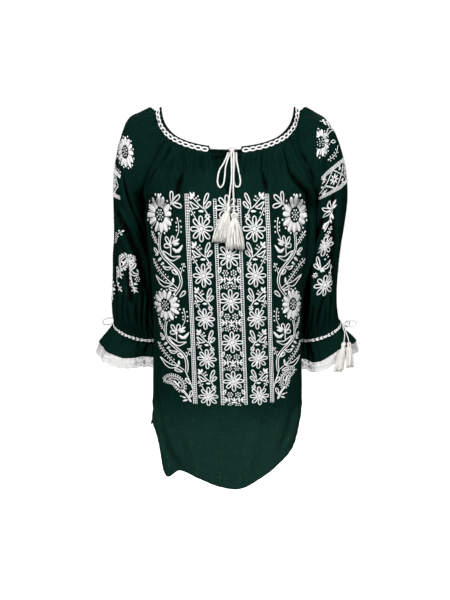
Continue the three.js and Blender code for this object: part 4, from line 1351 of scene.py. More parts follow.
def outlineLoop(kind, spine, width):
    path = flatRoute(spine, False, 1.2)
    ahead = units(np.gradient(path, axis=0))
    at = np.linspace(0, 1, len(path))

    def spot(share, off):
        centre = [np.interp(share, at, path[:, i]) for i in range(2)]
        way = [np.interp(share, at, ahead[:, i]) for i in range(2)]
        return (centre[0] - way[1] * off * width / 2, centre[1] + way[0] * off * width / 2)

    shape = outlines[kind]
    return [spot(share, off) for share, off in shape] + [spot(share, -off) for share, off in shape[-2:0:-1]]


def pairedDots(points, first, last, count, reach, radius):
    # a stem with dots in pairs along it
    path = flatRoute(points, False, 1.0)
    entries = [("fine", points, 0)]
    for k in range(count):
        share = first + (last - first) * k / max(count - 1, 1)
        at = min(int(share * (len(path) - 1)), len(path) - 2)
        ahead = path[at + 1] - path[at]
        ahead /= np.linalg.norm(ahead)
        for side in (-1, 1):
            spot = (path[at][0] - side * ahead[1] * reach, path[at][1] + side * ahead[0] * reach)
            entries.append(("dot", [spot], radius))
    entries.append(("dot", [tuple(path[-1][:2])], radius * 1.1))
    return entries


def daisy(width, height, seed=0, petals=8):
    # outlined petals round a knotted centre
    chance = random.Random(seed)
    entries = []
    for k in range(petals):
        angle = 2 * math.pi * k / petals + chance.uniform(-0.05, 0.05)
        x, y = math.sin(angle) * width / 2, -math.cos(angle) * height / 2
        x, y = x * chance.uniform(0.94, 1.02), y * chance.uniform(0.94, 1.02)
        entries.append(("outline", [(0.21 * x, 0.21 * y), (x, y)], 0.205 * (width + height) / 2))
    entries.append(("centre", [(0, 0)], 0.078 * (width + height) / 2))
    return entries


def asterisk(radius, count=7, turn=0.3):
    entries = []
    for k in range(count):
        angle = 2 * math.pi * k / count + turn
        x, y = radius * math.cos(angle), radius * math.sin(angle)
        entries.append(("leaf", [(0.15 * x, 0.15 * y), (x, y)], 0.42 * radius))
    return entries


def floret(radius, count=6, turn=0.0):
    entries = [("dot", [(0, 0)], 0.24 * radius)]
    for k in range(count):
        angle = 2 * math.pi * k / count + turn
        x, y = 0.74 * radius * math.cos(angle), 0.74 * radius * math.sin(angle)
        entries.append(("dot", [(x, y)], 0.3 * radius))
    return entries


# the five leaves of a sprig: the angle off its stalk, where on it the leaf starts, and its reach
triLeaves = ((0, 0.45, 1.0), (0.85, 0.3, 0.82), (-0.85, 0.3, 0.82), (1.3, 0.0, 0.5), (-1.3, 0.0, 0.5))


def triLeaf(base, ahead, length):
    # a short stalk with five small leaves
    (x, y), (ax, ay) = base, ahead
    entries = []
    for angle, start, share in triLeaves:
        c, s = math.cos(angle), math.sin(angle)
        dx, dy = ax * c - ay * s, ax * s + ay * c
        sx, sy = x + ax * length * start, y + ay * length * start
        reach = length * (share - start * (angle == 0))
        entries.append(("leaf", [(sx, sy), (sx + dx * reach, sy + dy * reach)], 0.27 * length))
    foot = (x - 0.1 * ax * length, y - 0.1 * ay * length)
    top = (x + ax * length * 0.6, y + ay * length * 0.6)
    return entries + [("stem", [foot, top], 0)]


def largeFlower(width, height, petals=12, seed=1):
    # broad satin-stitched petals that meet in a ring, a stalked dot between each two, and a seeded middle
    chance = random.Random(seed)
    entries = []
    for k in range(petals):
        angle = 2 * math.pi * (k + 0.12) / petals + chance.uniform(-0.05, 0.05)
        reach = chance.uniform(0.94, 1.04)
        x, y = math.sin(angle), -math.cos(angle)
        entries.append(("petal", [(0.185 * width * x, 0.185 * height * y),
                                  (0.49 * width * reach * x, 0.49 * height * reach * y)], 0.136 * width))
        beside = angle + math.pi / petals
        x, y = math.sin(beside), -math.cos(beside)
        entries.append(("fine",
                        [(0.22 * width * x, 0.22 * height * y), (0.4 * width * x, 0.4 * height * y)], 0))
        entries.append(("dot", [(0.475 * width * x, 0.475 * height * y)], 0.033 * width))
    for radius, count in ((0, 1), (0.055, 4), (0.118, 8)):
        for k in range(count):
            angle = 2 * math.pi * (k + 0.5 * (count == 8)) / count
            entries.append(("dot",
                            [(radius * width * math.sin(angle), -1.05 * radius * height * math.cos(angle))],
                            0.026 * width if count > 4 else 0.021 * width))
    return entries


sideSprig = (
    [("leaf", [(14, 30), (19.8, 20.5)], 5.4), ("leaf", [(13.4, 29), (11, 20)], 5.2),
     ("leaf", [(14.5, 31), (21.5, 29)], 5.0),
     ("stem", [(14, 29.5), (8, 35), (1, 42), (-5, 46)], 0),
     ("slender", [(3, 44), (10, 44), (20, 35)], 7.4),
     ("outline", [(-5.5, 40), (-14.5, 22)], 7.2),
     ("stem", [(-5.5, 40), (-6.5, 46), (-9.5, 51), (-11, 54)], 0),
     ("outline", [(-9, 46), (-18, 35.5)], 6.8),
     ("leaf", [(-6, 50.5), (5, 50.5)], 5.0)]
    + [("dot", [at], 1.8) for at in ((4, 27), (7.6, 30), (1.4, 32.3), (4.6, 33.6))]
    + placed(asterisk(6), -11.8, 58.5)
    + pairedDots([(9.5, 62), (14.5, 54.5), (19, 46.5)], 0.5, 0.85, 2, 3.4, 1.7)
)

middleSprig = (
    [("outline", [(side * -15, 18), (side * -19.5, 28)], 6) for side in (1, -1)]
    + placed(floret(6), -7.4, 28.5) + placed(floret(6, turn=0.5), 7.4, 28.5)
    + triLeaf((0, 46), (0, -1), 12.5) + triLeaf((-8.5, 40), (-1, 0), 12) + triLeaf((8.5, 40), (1, 0), 12)
    + placed(floret(5.8, turn=0.3), -7, 51.5) + placed(floret(5.8), 7, 51.5)
    + placed(asterisk(4.6, 5), -17.4, 53.5) + placed(asterisk(4.6, 5, 0.9), 17.4, 53.5)
)

# The flowering branch beside the ladders, as on the wearer's left, measured from the middle of its flower.
vine = ((-1, 30), (2, 41), (3, 53), (0, 62), (-7, 69.5), (-18, 77), (-30, 84.5), (-40, 93), (-45, 103),
        (-46, 112))
branch = (
    [("twin", list(vine) + [(-42.5, 122), (-35.5, 131), (-29, 138)], 6.4)]
    + pairedDots([(7, 51), (17, 40), (28, 29)], 0.3, 0.85, 4, 3.8, 1.6)
    + [("outline", [(6, 63), (12, 62.5), (21.5, 57)], 7), ("leaf", [(6, 66.5), (20, 69)], 5.2),
       ("leaf", [(-2, 72), (11, 79)], 6.6), ("leaf", [(-9, 80), (3, 85)], 5.6),
       ("slender", [(-26, 87.5), (-14, 90), (-4, 86)], 6.6), ("outline", [(-38, 99), (-27, 92)], 7.6),
       ("slender", [(-5, 60), (-14, 65), (-28, 72), (-47, 66.5)], 9.6),
       ("outline", [(-25, 51), (-10, 50.5)], 8.8), ("outline", [(-24, 48), (-14, 36)], 8.8),
       ("outline", [(-26.5, 47), (-32.5, 33.5)], 8.8),
       ("leaf", [(-29, 47), (-47, 37)], 6.2), ("leaf", [(-31, 49), (-46, 44.5)], 5.8),
       ("crescent", [(-28, 52.5), (-40, 59.5), (-54, 46)], 7.6), ("stem", [(-25.5, 51), (-25.5, 65)], 0),
       ("dot", [(-25.5, 50.5)], 3.0)]
    + pairedDots([(-38.5, 38), (-45.5, 25), (-46, 14), (-43.5, 4)], 0.42, 0.84, 3, 5.0, 1.9)
    + pairedDots([(-40, 124), (-14, 108), (10, 92), (31, 77)], 0.36, 0.94, 8, 4.4, 1.6)
    + [("slender", [(-27, 117), (-6, 119), (24, 105)], 10), ("leaf", [(-28, 116), (-29, 104)], 6),
       ("outline", [(-36, 127.5), (-18, 124.5)], 7), ("outline", [(-42, 139), (-54, 128)], 7.4)]
    + pairedDots([(-46, 97), (-50, 87), (-54, 79.5)], 0.45, 0.85, 2, 3.6, 1.8)
)
shortBranch = (
    [entry for entry in branch if entry[0] != "twin" and entry[1][0] != (-42, 139)]
    + [("twin", list(vine) + [(-45.5, 121), (-44, 128)], 6.4),
       ("stem", [(-42, 126), (-48, 140), (-53, 152), (-56, 162)], 0),
       ("outline", [(-53, 153), (-42, 141)], 7.4)]
)
threeLeaves = [
    ("outline", [(1, 0), (-1, -18)], 8.4), ("outline", [(0, 0), (-18, -13)], 8.4),
    ("outline", [(-1, 1), (-21, 4.5)], 8.4),
    ("leaf", [(6, 2), (-4, -2)], 6),
]


def paisley(turn=0.0, scale=1.0):
    # a curled drop with a beaded edge and a leaf inside, and the sprig under it; turn tips the drop up
    c, d = scale * math.cos(math.radians(turn)), scale * math.sin(math.radians(turn))

    def tipped(points):
        return [(x * c + y * d, y * c - x * d) for x, y in points]

    edge = tipped(((-3, 0), (5, 2), (13, -4), (22, -12), (34, -13), (45, -14), (38, -21), (25, -27),
                   (11, -27),
                   (1, -21), (-4, -13), (-5, -5)))
    inner = tipped(((2, -4), (10, -9), (20, -17), (31, -18), (24, -22), (10, -21), (3, -14), (0, -9)))
    entries = [("ring", edge, 0), ("ring", inner, 0), ("leaf", tipped(((5, -7), (13, -13), (19, -20))), 5.0),
               ("leaf", tipped(((8, -12), (5, -17))), 3.2)]
    path = flatRoute(edge, True, 4.8)
    ahead = np.roll(path[:-1], -1, 0) - np.roll(path[:-1], 1, 0)
    for spot, way in zip(path[:-1], units(ahead)):
        entries.append(("dot", [(spot[0] - 3.1 * way[1], spot[1] + 3.1 * way[0])], 1.7))
        entries.append(("dot", [(spot[0] + 2.3 * way[1], spot[1] - 2.3 * way[0])], 1.1))
    return entries + [
        ("twin", [(0, 1), (-6, 6), (-11, 13), (-16, 23)], 4.6), ("dot", [(-16.5, 23.5)], 1.9),
        ("outline", [(-15, 15), (-20, 0)], 7.2), ("leaf", [(-8, 17), (2, 14.5)], 4.0),
        ("dot", [(3.5, 14)], 1.7),
        ("leaf", [(-11, 20), (1, 25)], 4.8),
    ]


def turnedAway(entries, reach, outer, inner):
    # a drawing that grows wider outwards, above x 0, where the cloth turns away
    def spot(x, y):
        return (x * (1 + outer * (x / reach) ** 1.6) if x > 0 else inner * x, y)

    return [(kind, [spot(x, y) for x, y in points], size) for kind, points, size in entries]


def ladder(x, top, bottom, width, columns, pitch):
    # rails with rungs between them
    entries = []
    for k in range(columns + 1):
        at = x - width / 2 + width * k / columns
        entries.append(("rail", [(at, y) for y in np.linspace(top, bottom, int((bottom - top) / 6) + 1)], 0))
    for k in range(int((bottom - top) / pitch) + 1):
        y = top + pitch * k
        entries.append(("rail", [(x - width / 2, y), (x, y), (x + width / 2, y)], 0))
    return entries


frontPattern = {
    "bottom": 386, "pitch": 78.6, "firstSideDaisy": 54.3, "firstMiddleDaisy": 20.5,
    "sideWidths": (42, 38.5, 36.5, 36, 37.5), "sideHeights": (42.5, 41, 40, 40, 41),
    "middleWidths": (41, 41, 40, 39, 38), "sideColumn": 48, "outerLadder": 73.8, "innerLadder": 21.8,
}


def frontEntries():
    p = frontPattern
    entries = []
    for side in (-1, 1):
        entries += ladder(side * p["outerLadder"], 0, p["bottom"], 6.8, 2, 4.3)
        entries += ladder(side * p["innerLadder"], 7, p["bottom"], 4.9, 1, 3.6)
        for k in range(5):
            y = p["firstSideDaisy"] + p["pitch"] * k
            flower = daisy(p["sideWidths"][k], p["sideHeights"][k], k)
            entries += placed(flower, side * p["sideColumn"], y, side)
        for k in range(-1, 4):
            y = p["firstSideDaisy"] + p["pitch"] * k
            narrow = 0.5 * (p["sideWidths"][max(k, 0)] + p["sideWidths"][k + 1]) / 41
            entries += placed(sideSprig, side * p["sideColumn"], y, side, (narrow, 1))
        entries += placed(threeLeaves, side * 106, 15, side)
        flower = largeFlower(71, 66)
        if side < 0:
            entries += placed(turnedAway(flower, 36, 0.5, 0.89), -137.5, 34.5, -1)
        else:
            entries += placed(flower, 139, 34.5)
        entries += placed(branch, side * 139, 34.5, side)
        flower = largeFlower(66, 62, seed=4)
        entries += placed(turnedAway(flower, 33, 0.62, 1.1) if side < 0 else flower, side * 132, 191.7, side)
        entries += placed(shortBranch, side * 131, 191.7, side, (0.95, 1))
        entries += placed(paisley(), -99, 358, -1) if side < 0 else placed(paisley(30, 0.92), 103, 355)
    for k in range(5):
        y = p["firstMiddleDaisy"] + p["pitch"] * k
        entries += placed(daisy(p["middleWidths"][k], 42, 9 + k), 0, y)
        if k < 4:
            entries += placed(middleSprig, 0, y)
    # the last daisy has only the upper part of the sprig under it
    upper = [entry for entry in middleSprig if max(spot[1] for spot in entry[1]) < 52]
    return entries + placed(upper, 0, p["firstMiddleDaisy"] + 4 * p["pitch"])


def patternMesh(entries, relief=stitchSettings["relief"]):
    # every entry as flat geometry, with its faces turned for x to the right, y up and the thread above
    lines = {}
    points, faces = [], []

    def addPart(part, transform):
        partPoints, partFaces = flatParts[part]
        base = sum(len(p) for p in points)
        points.append(transform(partPoints))
        faces.extend(tuple(base + i for i in face) for face in partFaces)

    def addDot(at, radius, high=1.0):
        addPart("dot", lambda p: np.stack([at[0] + p[:, 0] * radius, at[1] + p[:, 1] * radius,
                                           relief * high * p[:, 2]], 1))

    for kind, spots, size in entries:
        if kind in ("leaf", "petal", "crescent"):
            path = flatRoute(spots, False, 2.0)

            def alongSpine(p, path=path, size=size):
                at = p[:, 0] * (len(path) - 1)
                steps = np.arange(len(path))
                ahead = np.gradient(path[:, :2], axis=0)
                centre = np.stack([np.interp(at, steps, path[:, i]) for i in range(2)], 1)
                way = np.stack([np.interp(at, steps, ahead[:, i]) for i in range(2)], 1)
                way = units(way)
                aside = np.stack([-way[:, 1], way[:, 0]], 1)
                return np.column_stack([centre + aside * (p[:, 1] * size)[:, None], relief * p[:, 2]])

            addPart("leaf" if kind == "crescent" else kind, alongSpine)
        elif kind == "dot":
            addDot(spots[0], size)
        elif kind == "centre":
            addDot(spots[0], size, 1.5)
            for k in range(9):
                angle = 2 * math.pi * k / 9
                x, y = 0.95 * size * math.cos(angle), 0.95 * size * math.sin(angle)
                addDot((spots[0][0] + x, spots[0][1] + y), 0.34 * size)
        elif kind in outlines:
            width = stitchSettings[kind]
            lines.setdefault(width, []).append((outlineLoop(kind, spots, size - width * 0.8), True))
        elif kind == "ring":
            lines.setdefault(stitchSettings["fine"], []).append((spots, True))
        elif kind == "twin":
            path = flatRoute(spots, False, 3.0)
            ahead = units(np.gradient(path[:, :2], axis=0))
            off = np.stack([-ahead[:, 1], ahead[:, 0]], 1) * (size - stitchSettings["stem"]) / 2
            for sign in (-1, 1):
                beside = [tuple(spot) for spot in path[:, :2] + sign * off]
                lines.setdefault(stitchSettings["stem"], []).append((beside, False))
        else:
            lines.setdefault(stitchSettings[kind], []).append((spots, False))
    for width, routes in lines.items():
        linePoints, lineFaces = threadLines(routes, width, relief)
        base = sum(len(p) for p in points)
        points.append(linePoints)
        faces += [tuple(base + i for i in face) for face in lineFaces]
    return np.vstack(points), faces


def threadLines(routes, width, relief, even=True):
    # raised lines of stitches, as one bevelled curve, through even steps or through the points that are given
    curve = bpy.data.curves.new("threadLines", "CURVE")
    curve.dimensions = "3D"
    curve.twist_mode = "Z_UP"
    curve.bevel_depth = width / 2
    curve.bevel_resolution = 0
    curve.use_fill_caps = True
    for spots, closed in routes:
        if not even:
            path = np.array([(x, y, 0) for x, y in spots], float)
        elif closed:
            path = flatRoute(spots, True, stitchSettings["step"])
            path = path[:-1]
        elif len(spots) > 2:
            path = flatRoute(spots, False, stitchSettings["step"] * 1.3)
        else:
            path = np.array([(x, y, 0) for x, y in spots], float)
        spline = curve.splines.new("POLY")
        spline.points.add(len(path) - 1)
        for point, (x, y, z) in zip(spline.points, path):
            point.co = (x, y, z, 1)
        spline.use_cyclic_u = closed
    piece = bpy.data.objects.new("threadLines", curve)
    bpy.context.collection.objects.link(piece)
    choose(piece)
    bpy.ops.object.convert(target="MESH")
    points, faces = readMesh(bpy.context.object)
    points[:, 2] *= 2 * relief / width
    return points, faces


def layOn(cloth, flat, heights):
    # the points of a flat drawing, across and down in millimetres, on the cloth
    downs, across = cloth["down"][:, 0], cloth["across"]
    points, normals = cloth["points"], cloth["normals"]
    forwards = across[0, 0] < across[0, -1]
    at = np.clip(np.searchsorted(downs, flat[:, 1], side="right") - 1, 0, len(downs) - 2)
    share = np.clip((flat[:, 1] - downs[at]) / (downs[at + 1] - downs[at]), 0, 1)
    columns = np.arange(across.shape[1], dtype=float)
    places = np.zeros((len(flat), 3))
    ways = np.zeros((len(flat), 3))
    for row in np.unique(at):
        chosen = np.nonzero(at == row)[0]
        for r, weight in ((row, 1 - share[chosen]), (row + 1, share[chosen])):
            order = across[r] if forwards else across[r][::-1]
            spot = np.interp(flat[chosen, 0], order, columns)
            if not forwards:
                spot = columns[-1] - spot
            k = np.clip(spot.astype(int), 0, len(columns) - 2)
            f = (spot - k)[:, None]
            places[chosen] += weight[:, None] * (points[r, k] * (1 - f) + points[r, k + 1] * f)
            ways[chosen] += weight[:, None] * (normals[r, k] * (1 - f) + normals[r, k + 1] * f)
    return places + units(ways) * heights[:, None]


def embroider(name, cloth, entries, toCloth, tucks=()):
    # a tuck is (downs, acrosses, side): the cloth right of that line for 1, left for -1, is folded away
    points, faces = patternMesh(entries)
    flat = toCloth(points[:, 0], points[:, 1])
    heights = points[:, 2] + stitchSettings["lift"] + clothThickness / 2
    for downs, acrosses, side in tucks:
        line = np.interp(flat[:, 1], downs, acrosses)
        beyond = side * (flat[:, 0] - line)
        heights = np.where(beyond > 0, np.minimum(heights, 0) - 2 * smooth(beyond / 1.5), heights)
        flat[:, 0] = np.where(beyond > 0, line + side * np.minimum(beyond, 1), flat[:, 0])
    laid = layOn(cloth, flat, heights)
    if cloth["across"][0, 0] < cloth["across"][0, -1]:
        faces = [tuple(reversed(f)) for f in faces]
    finishPiece(addMesh(name, laid * mm, faces), stitchMaterial, "thread")


def evenAcross(cloth, across, down, level):
    # above that level the panel narrows quickly to its sleeve seams, and across keeps to upright lines
    rows = cloth["down"][:, 0]
    middle = cloth["across"].shape[1] // 2

    def uprights(row):
        x = cloth["form"][row, :, 0]
        return np.concatenate([np.minimum.accumulate(x[:middle][::-1])[::-1] - 1e-4 * np.arange(middle)[::-1],
                               np.maximum.accumulate(x[middle:]) + 1e-4 * np.arange(len(x) - middle)])

    start = int(np.argmin(np.abs(rows - level)))
    x = np.interp(across, cloth["across"][start], uprights(start))
    even = across.copy()
    for row in range(start):
        here = (down >= rows[row]) & (down < rows[row + 1])
        share = (down[here] - rows[row]) / (rows[row + 1] - rows[row])
        first, second = (np.interp(x[here], uprights(r), cloth["across"][r]) for r in (row, row + 1))
        even[here] = first + (second - first) * share
    return even


def frontToCloth(x, y):
    # the pattern's rows come closer together towards the hem, and its middle drifts a little to the right
    q = (y - frontPattern["firstSideDaisy"]) / frontPattern["pitch"]
    down = 137.5 + 87.5 * q - 2.2 * q * q
    across = x - 2 + (down - 78) * 0.0375
    return np.stack([evenAcross(frontCloth, across, down, 118), down], 1)


frontCloth["normals"] = surfaceNormals(frontCloth["points"])
embroider("frontEmbroidery", frontCloth, frontEntries(), frontToCloth)
print("front embroidered")


# Sleeve embroidery, measured from the outer line, below 0 on the front, and from the neck band
def leafyTwig(points, count, length, width):
    # small leaves in pairs along a stem, and one at its end
    path = flatRoute(points, False, 1.0)
    entries = [("stem", points, 0)]
    for k in range(count):
        at = min(int((0.12 + 0.8 * k / count) * (len(path) - 1)), len(path) - 2)
        ahead = (path[at + 1] - path[at])[:2]
        ahead /= np.linalg.norm(ahead)
        for side in (-1, 1):
            way = 0.62 * ahead + side * 0.78 * np.array((-ahead[1], ahead[0]))
            base = path[at][:2] + 0.1 * length * way
            entries.append(("leaf", [tuple(base), tuple(base + length * way)], width))
    ahead = (path[-1] - path[-2])[:2] / np.linalg.norm((path[-1] - path[-2])[:2])
    entries.append(("leaf", [tuple(path[-1][:2]), tuple(path[-1][:2] + length * ahead)], width))
    return entries


def mirroredAbout(entries, axis):
    return entries + [(kind, [(2 * axis - x, y) for x, y in points], size) for kind, points, size in entries]


def diamondBand(first, last, half, pitch):
    # rows of small cells above and below, and between them stepped diamonds with an eight-leaved star in each
    entries = []
    cell = 3.4
    xs = np.linspace(first, last, int((last - first) / 5) + 1)
    for side in (-1, 1):
        for k in range(3):
            entries.append(("rail", [(x, side * (half - cell * k)) for x in xs], 0))
        for k in range(int((last - first) / cell) + 1):
            x = first + cell * k
            entries.append(("rail",
                            [(x, side * half), (x, side * (half - cell)), (x, side * (half - 2 * cell))], 0))
    inner = half - 2 * cell
    count = round((last - first) / pitch)
    steps = 6
    for k in range(count):
        middle = first + (last - first) * (k + 0.5) / count
        for sx in (-1, 1):
            for sy in (-1, 1):
                for step in range(steps):
                    x0, x1 = (inner * v / steps for v in (step, step + 1))
                    y0, y1 = ((inner - 1) * (1 - v / steps) for v in (step, step + 1))
                    entries.append(("stem", [(middle + sx * x0, sy * y0), (middle + sx * x1, sy * y0)], 0))
                    entries.append(("stem", [(middle + sx * x1, sy * y0), (middle + sx * x1, sy * y1)], 0))
        for turn in range(8):
            angle = math.pi * (turn + 0.5) / 4
            x, y = math.cos(angle), math.sin(angle)
            entries.append(("leaf", [(middle + 0.08 * inner * x, 0.08 * inner * y),
                                     (middle + 0.62 * inner * x, 0.62 * inner * y)], 0.2 * inner))
        for sy in (-1, 1):
            corner = middle + pitch / 2
            if corner < last - 8:
                entries += triLeaf((corner, sy * (inner - 1.5)), (0, -sy), 10)
        if middle + pitch / 2 < last - 8:
            entries += placed(floret(4.2, 5), middle + pitch / 2, 0)
    return entries


def sleeveFlower(x, y, width=58, height=61):
    # a large flower with its leaves, and the dotted spray under it
    return (placed(largeFlower(width, height, seed=7), x, y)
            + placed(pairedDots([(44, 38), (26, 47), (10, 48), (-2, 44)], 0.28, 0.86, 4, 4.2, 1.8), x, y)
            + [("slender", [(x + 24, y + 4), (x + 40, y + 2), (x + 55, y + 11)], 8.4),
               ("outline", [(x + 26, y + 21), (x + 40, y + 28)], 7.4)])


sleeveColumn = (
    # from under the band down: five leaves, a leafy chain, two flowers and the sprig between them
    [("slender", [(-84, 231), (-93, 236), (-100, 241)], 8.4),
     ("slender", [(-85, 228), (-94, 225), (-103, 217)], 8.6),
     ("slender", [(-84, 226), (-90, 216), (-90, 204)], 8.0), ("leaf", [(-81, 224), (-76, 207)], 6.0),
     ("leaf", [(-81, 228), (-73, 219)], 5.6), ("stem", [(-82, 224), (-80, 236), (-84, 250), (-90, 270)], 0),
     ("leaf", [(-80, 234), (-85, 247)], 5.6), ("leaf", [(-81, 238), (-75, 250)], 5.4),
     ("crescent", [(-83, 250), (-91, 256), (-91, 272)], 6.0), ("leaf", [(-83, 248), (-77, 258)], 5.0)]
    + pairedDots([(-86, 284), (-81, 276), (-77, 265)], 0.25, 0.85, 3, 3.8, 1.9)
    + placed(daisy(40, 39, 31), -84, 300)
    + [("outline", [(-83, 344), (-95, 320)], 7.6), ("outline", [(-85, 345), (-98, 334)], 7.2),
       ("stem", [(-80, 350), (-84, 344), (-79, 342)], 0),
       ("slender", [(-81, 343), (-73, 341), (-63, 331)], 8.2),
       ("leaf", [(-83, 345), (-74, 349)], 5.2), ("dot", [(-76, 318)], 1.9), ("dot", [(-72, 323)], 1.9),
       ("dot", [(-78, 326)], 1.9)]
    + placed(asterisk(6.2), -92, 355)
    + pairedDots([(-66, 362), (-61, 353), (-57, 343)], 0.4, 0.9, 2, 3.6, 1.8)
    + placed(daisy(42, 39, 32), -71, 376)
)
sleeveOuterSpray = (
    # beside the column, over the outer line: dotted sprays and a curled drop
    pairedDots([(-33, 299), (-48, 285), (-67, 270)], 0.2, 0.9, 5, 3.9, 1.9)
    + placed(paisley(20), -62, 342, -1, (0.72, 0.8))
    + pairedDots([(-34, 364), (-46, 356), (-59, 347)], 0.25, 0.85, 3, 3.9, 1.9)
    + pairedDots([(-36, 366), (-48, 374), (-60, 385)], 0.25, 0.85, 3, 3.9, 1.9)
)
sleeveInnerChain = (
    [("dot", [(-81, 312)], 1.9)] + triLeaf((-80, 328), (0.1, -1), 11)
    + [("leaf", [(-80, 339), (-78, 328)], 5.4), ("outline", [(-80, 340), (-88, 327)], 6.2),
       ("slender", [(-78, 339), (-84, 348), (-94, 347)], 7.2), ("leaf", [(-94, 346), (-89, 338)], 4.6),
       ("stem", [(-79, 338), (-80, 352), (-82, 366), (-86, 376)], 0), ("leaf", [(-80, 356), (-76, 347)], 5.0),
       ("leaf", [(-81, 362), (-75, 356)], 4.8), ("outline", [(-82, 362), (-78, 373)], 6.2),
       ("leaf", [(-84, 366), (-92, 366)], 5.0)]
    + placed(floret(5.4), -91, 357) + triLeaf((-86, 373), (-0.1, 1), 11)
)


bandMiddles = {-1: 181, 1: 161}    # how far down each sleeve its diamond band is


def sleeveEntries(side):
    axis = -6
    if side > 0:
        entries = mirroredAbout(sleeveFlower(-81, 69) + sleeveColumn, axis)
        entries += leafyTwig([(-40, 46), (-30, 60), (-20, 74), (-12, 90)], 4, 9.5, 5.4)
        entries += leafyTwig([(18, 46), (14, 60), (6, 76), (0, 90)], 4, 9.5, 5.4)
        entries += placed(largeFlower(60, 62, seed=9), -4, 338)
        entries += placed(diamondBand(-150, 130.6, 27, 46.8), 0, bandMiddles[1])
        return entries
    entries = mirroredAbout(sleeveFlower(-60, 106, 70, 62) + sleeveOuterSpray, axis + 14)
    entries += leafyTwig([(-12, 62), (-2, 76), (6, 92), (12, 106)], 4, 9.5, 5.4)
    entries += placed(largeFlower(58, 60, seed=9), -4, 392) + placed(daisy(40, 39, 34), 8, 250)
    entries += sleeveInnerChain + placed(sleeveInnerChain, 16, 0, -1)
    entries += placed(diamondBand(-66, 138, 26, 51), 0, bandMiddles[-1])
    return entries


def sleeveToCloth(side):
    def toCloth(x, y):
        # the band leans with the cloth's grain and is a little narrower at the outer line
        if side > 0:
            off = y - bandMiddles[1]
            lean = np.exp(-(off / 46) ** 4)
            y = y + lean * (off * (np.interp(x, (-112, -35), (1.22, 0.86)) - 1) - 0.02 * (x + 70))
        return np.stack([x, y - form["hiddenTop"]], 1)
    return toCloth


leftTuck = ((35, 41, 48, 55, 64, 75, 87, 102, 116, 162, 198, 206, 254, 262, 284, 310, 324, 332),
            (-35, -55, -70, -83, -93, -102, -107, -108, -110, -114, -113, -140, -140, -90, -93, -96, -100,
             -140), -1)
for side in (-1, 1):
    cloth = sleeveCloths[side]
    closed = cloth["row"][:, 0] >= form["armpitRow"]
    cloth["normals"] = surfaceNormals(cloth["points"], closed)
    tucks = (leftTuck,) if side > 0 else ()
    embroider(f"{sideNames[side]}SleeveEmbroidery", cloth, sleeveEntries(side), sleeveToCloth(side), tucks)
print("sleeves embroidered")


# Chains of stitches on the bands
outlines["oval"] = ((0, 0), (0.1, 0.62), (0.3, 0.96), (0.5, 1), (0.7, 0.96), (0.9, 0.62), (1, 0))
chainSettings = {"neckPitch": 12.9, "neckLength": 12.4, "neckHeight": 9.8, "neckMiddle": 8.2,
                 "wristPitch": 7.6,
                 "wristHeight": 8.2, "neckFace": 0.65, "wristFace": 0.95}


def flatBand(downs, lineAt, outs, alongs, face):
    points = np.array([lineAt(d) + outs * face for d in downs])
    rows = len(downs)
    return {"points": points, "across": np.repeat(alongs[None], rows, 0),
            "normals": np.repeat(outs[None], rows, 0),
            "down": np.repeat(np.array(downs, float)[:, None], len(alongs), 1)}


def makeNeckChain():
    s = chainSettings
    turns, alongs, outs = neckBand["turns"], neckBand["alongs"], neckBand["outs"]
    downs = np.arange(0, 14.1, 1.0)
    cloth = flatBand(downs, lambda down: neckLine(turns, down), outs, alongs, s["neckFace"])
    count = round((alongs[-1] - 2) / s["neckPitch"])
    chance = random.Random(81)
    entries = []
    for k in range(count):
        x = 1 + (alongs[-1] - 2) * (k + 0.5) / count
        tilt = chance.uniform(-0.5, 0.5)
        half = s["neckLength"] / 2
        entries.append(("oval", [(x - half, s["neckMiddle"] - tilt), (x + half, s["neckMiddle"] + tilt)],
                        s["neckHeight"] * chance.uniform(0.94, 1.04)))
    embroider("neckChain", cloth, entries, lambda x, y: np.stack([x, y], 1))


def makeWristChain(side):
    s = chainSettings
    band = wristBands[side]
    line = band["lineAt"](0)
    outs = np.vstack([band["outs"], band["outs"][:1]])
    alongs = np.append(band["alongs"], band["alongs"][-1] + np.linalg.norm(line[0] - line[-1]))
    face = bandSettings["wristLift"] + s["wristFace"]

    def closedLine(down):
        line = band["lineAt"](down)
        return np.vstack([line, line[:1]])

    cloth = flatBand(np.arange(-5, 5.1, 1.0), closedLine, outs, alongs, face)
    count = round(alongs[-1] / s["wristPitch"])
    chance = random.Random(83 + side)
    entries = []
    for k in range(count):
        x = alongs[-1] * (k + 0.5) / count
        size = s["wristHeight"] * chance.uniform(0.92, 1.04)
        if k % 4 == 2:
            entries.append(("oval", [(x - 3.4, 0), (x + 3.4, 0)], size * 0.94))
        else:
            lean = chance.uniform(0.8, 1.0) * side
            for sy in (-1, 1):
                ends = [(x - 4.0 * lean, sy * 0.08 * size), (x + 4.0 * lean, sy * 0.46 * size)]
                entries.append(("leaf", ends, 4.7))
    embroider(f"{sideNames[side]}WristChain", cloth, entries, lambda x, y: np.stack([x, y], 1))


makeNeckChain()
for side in (-1, 1):
    makeWristChain(side)
print("chains made")


# Lace: a knotted net with flowers in close cloth stitch and a scalloped, corded edge, gathered on at
# the hem of each flounce
laceSettings = {
    "scallops": 22, "pitch": 20.0, "depth": 23.0, "mesh": 2.3, "thread": 0.75, "cord": 1.0, "relief": 0.32,
    "ruffle": 1.3,
}


def laceEdge(x, pitch):
    # how deep the scalloped edge hangs at a place
    return laceSettings["depth"] - 0.9 - 3.4 * (1 - np.abs(np.sin(math.pi * x / pitch)) ** 0.8)


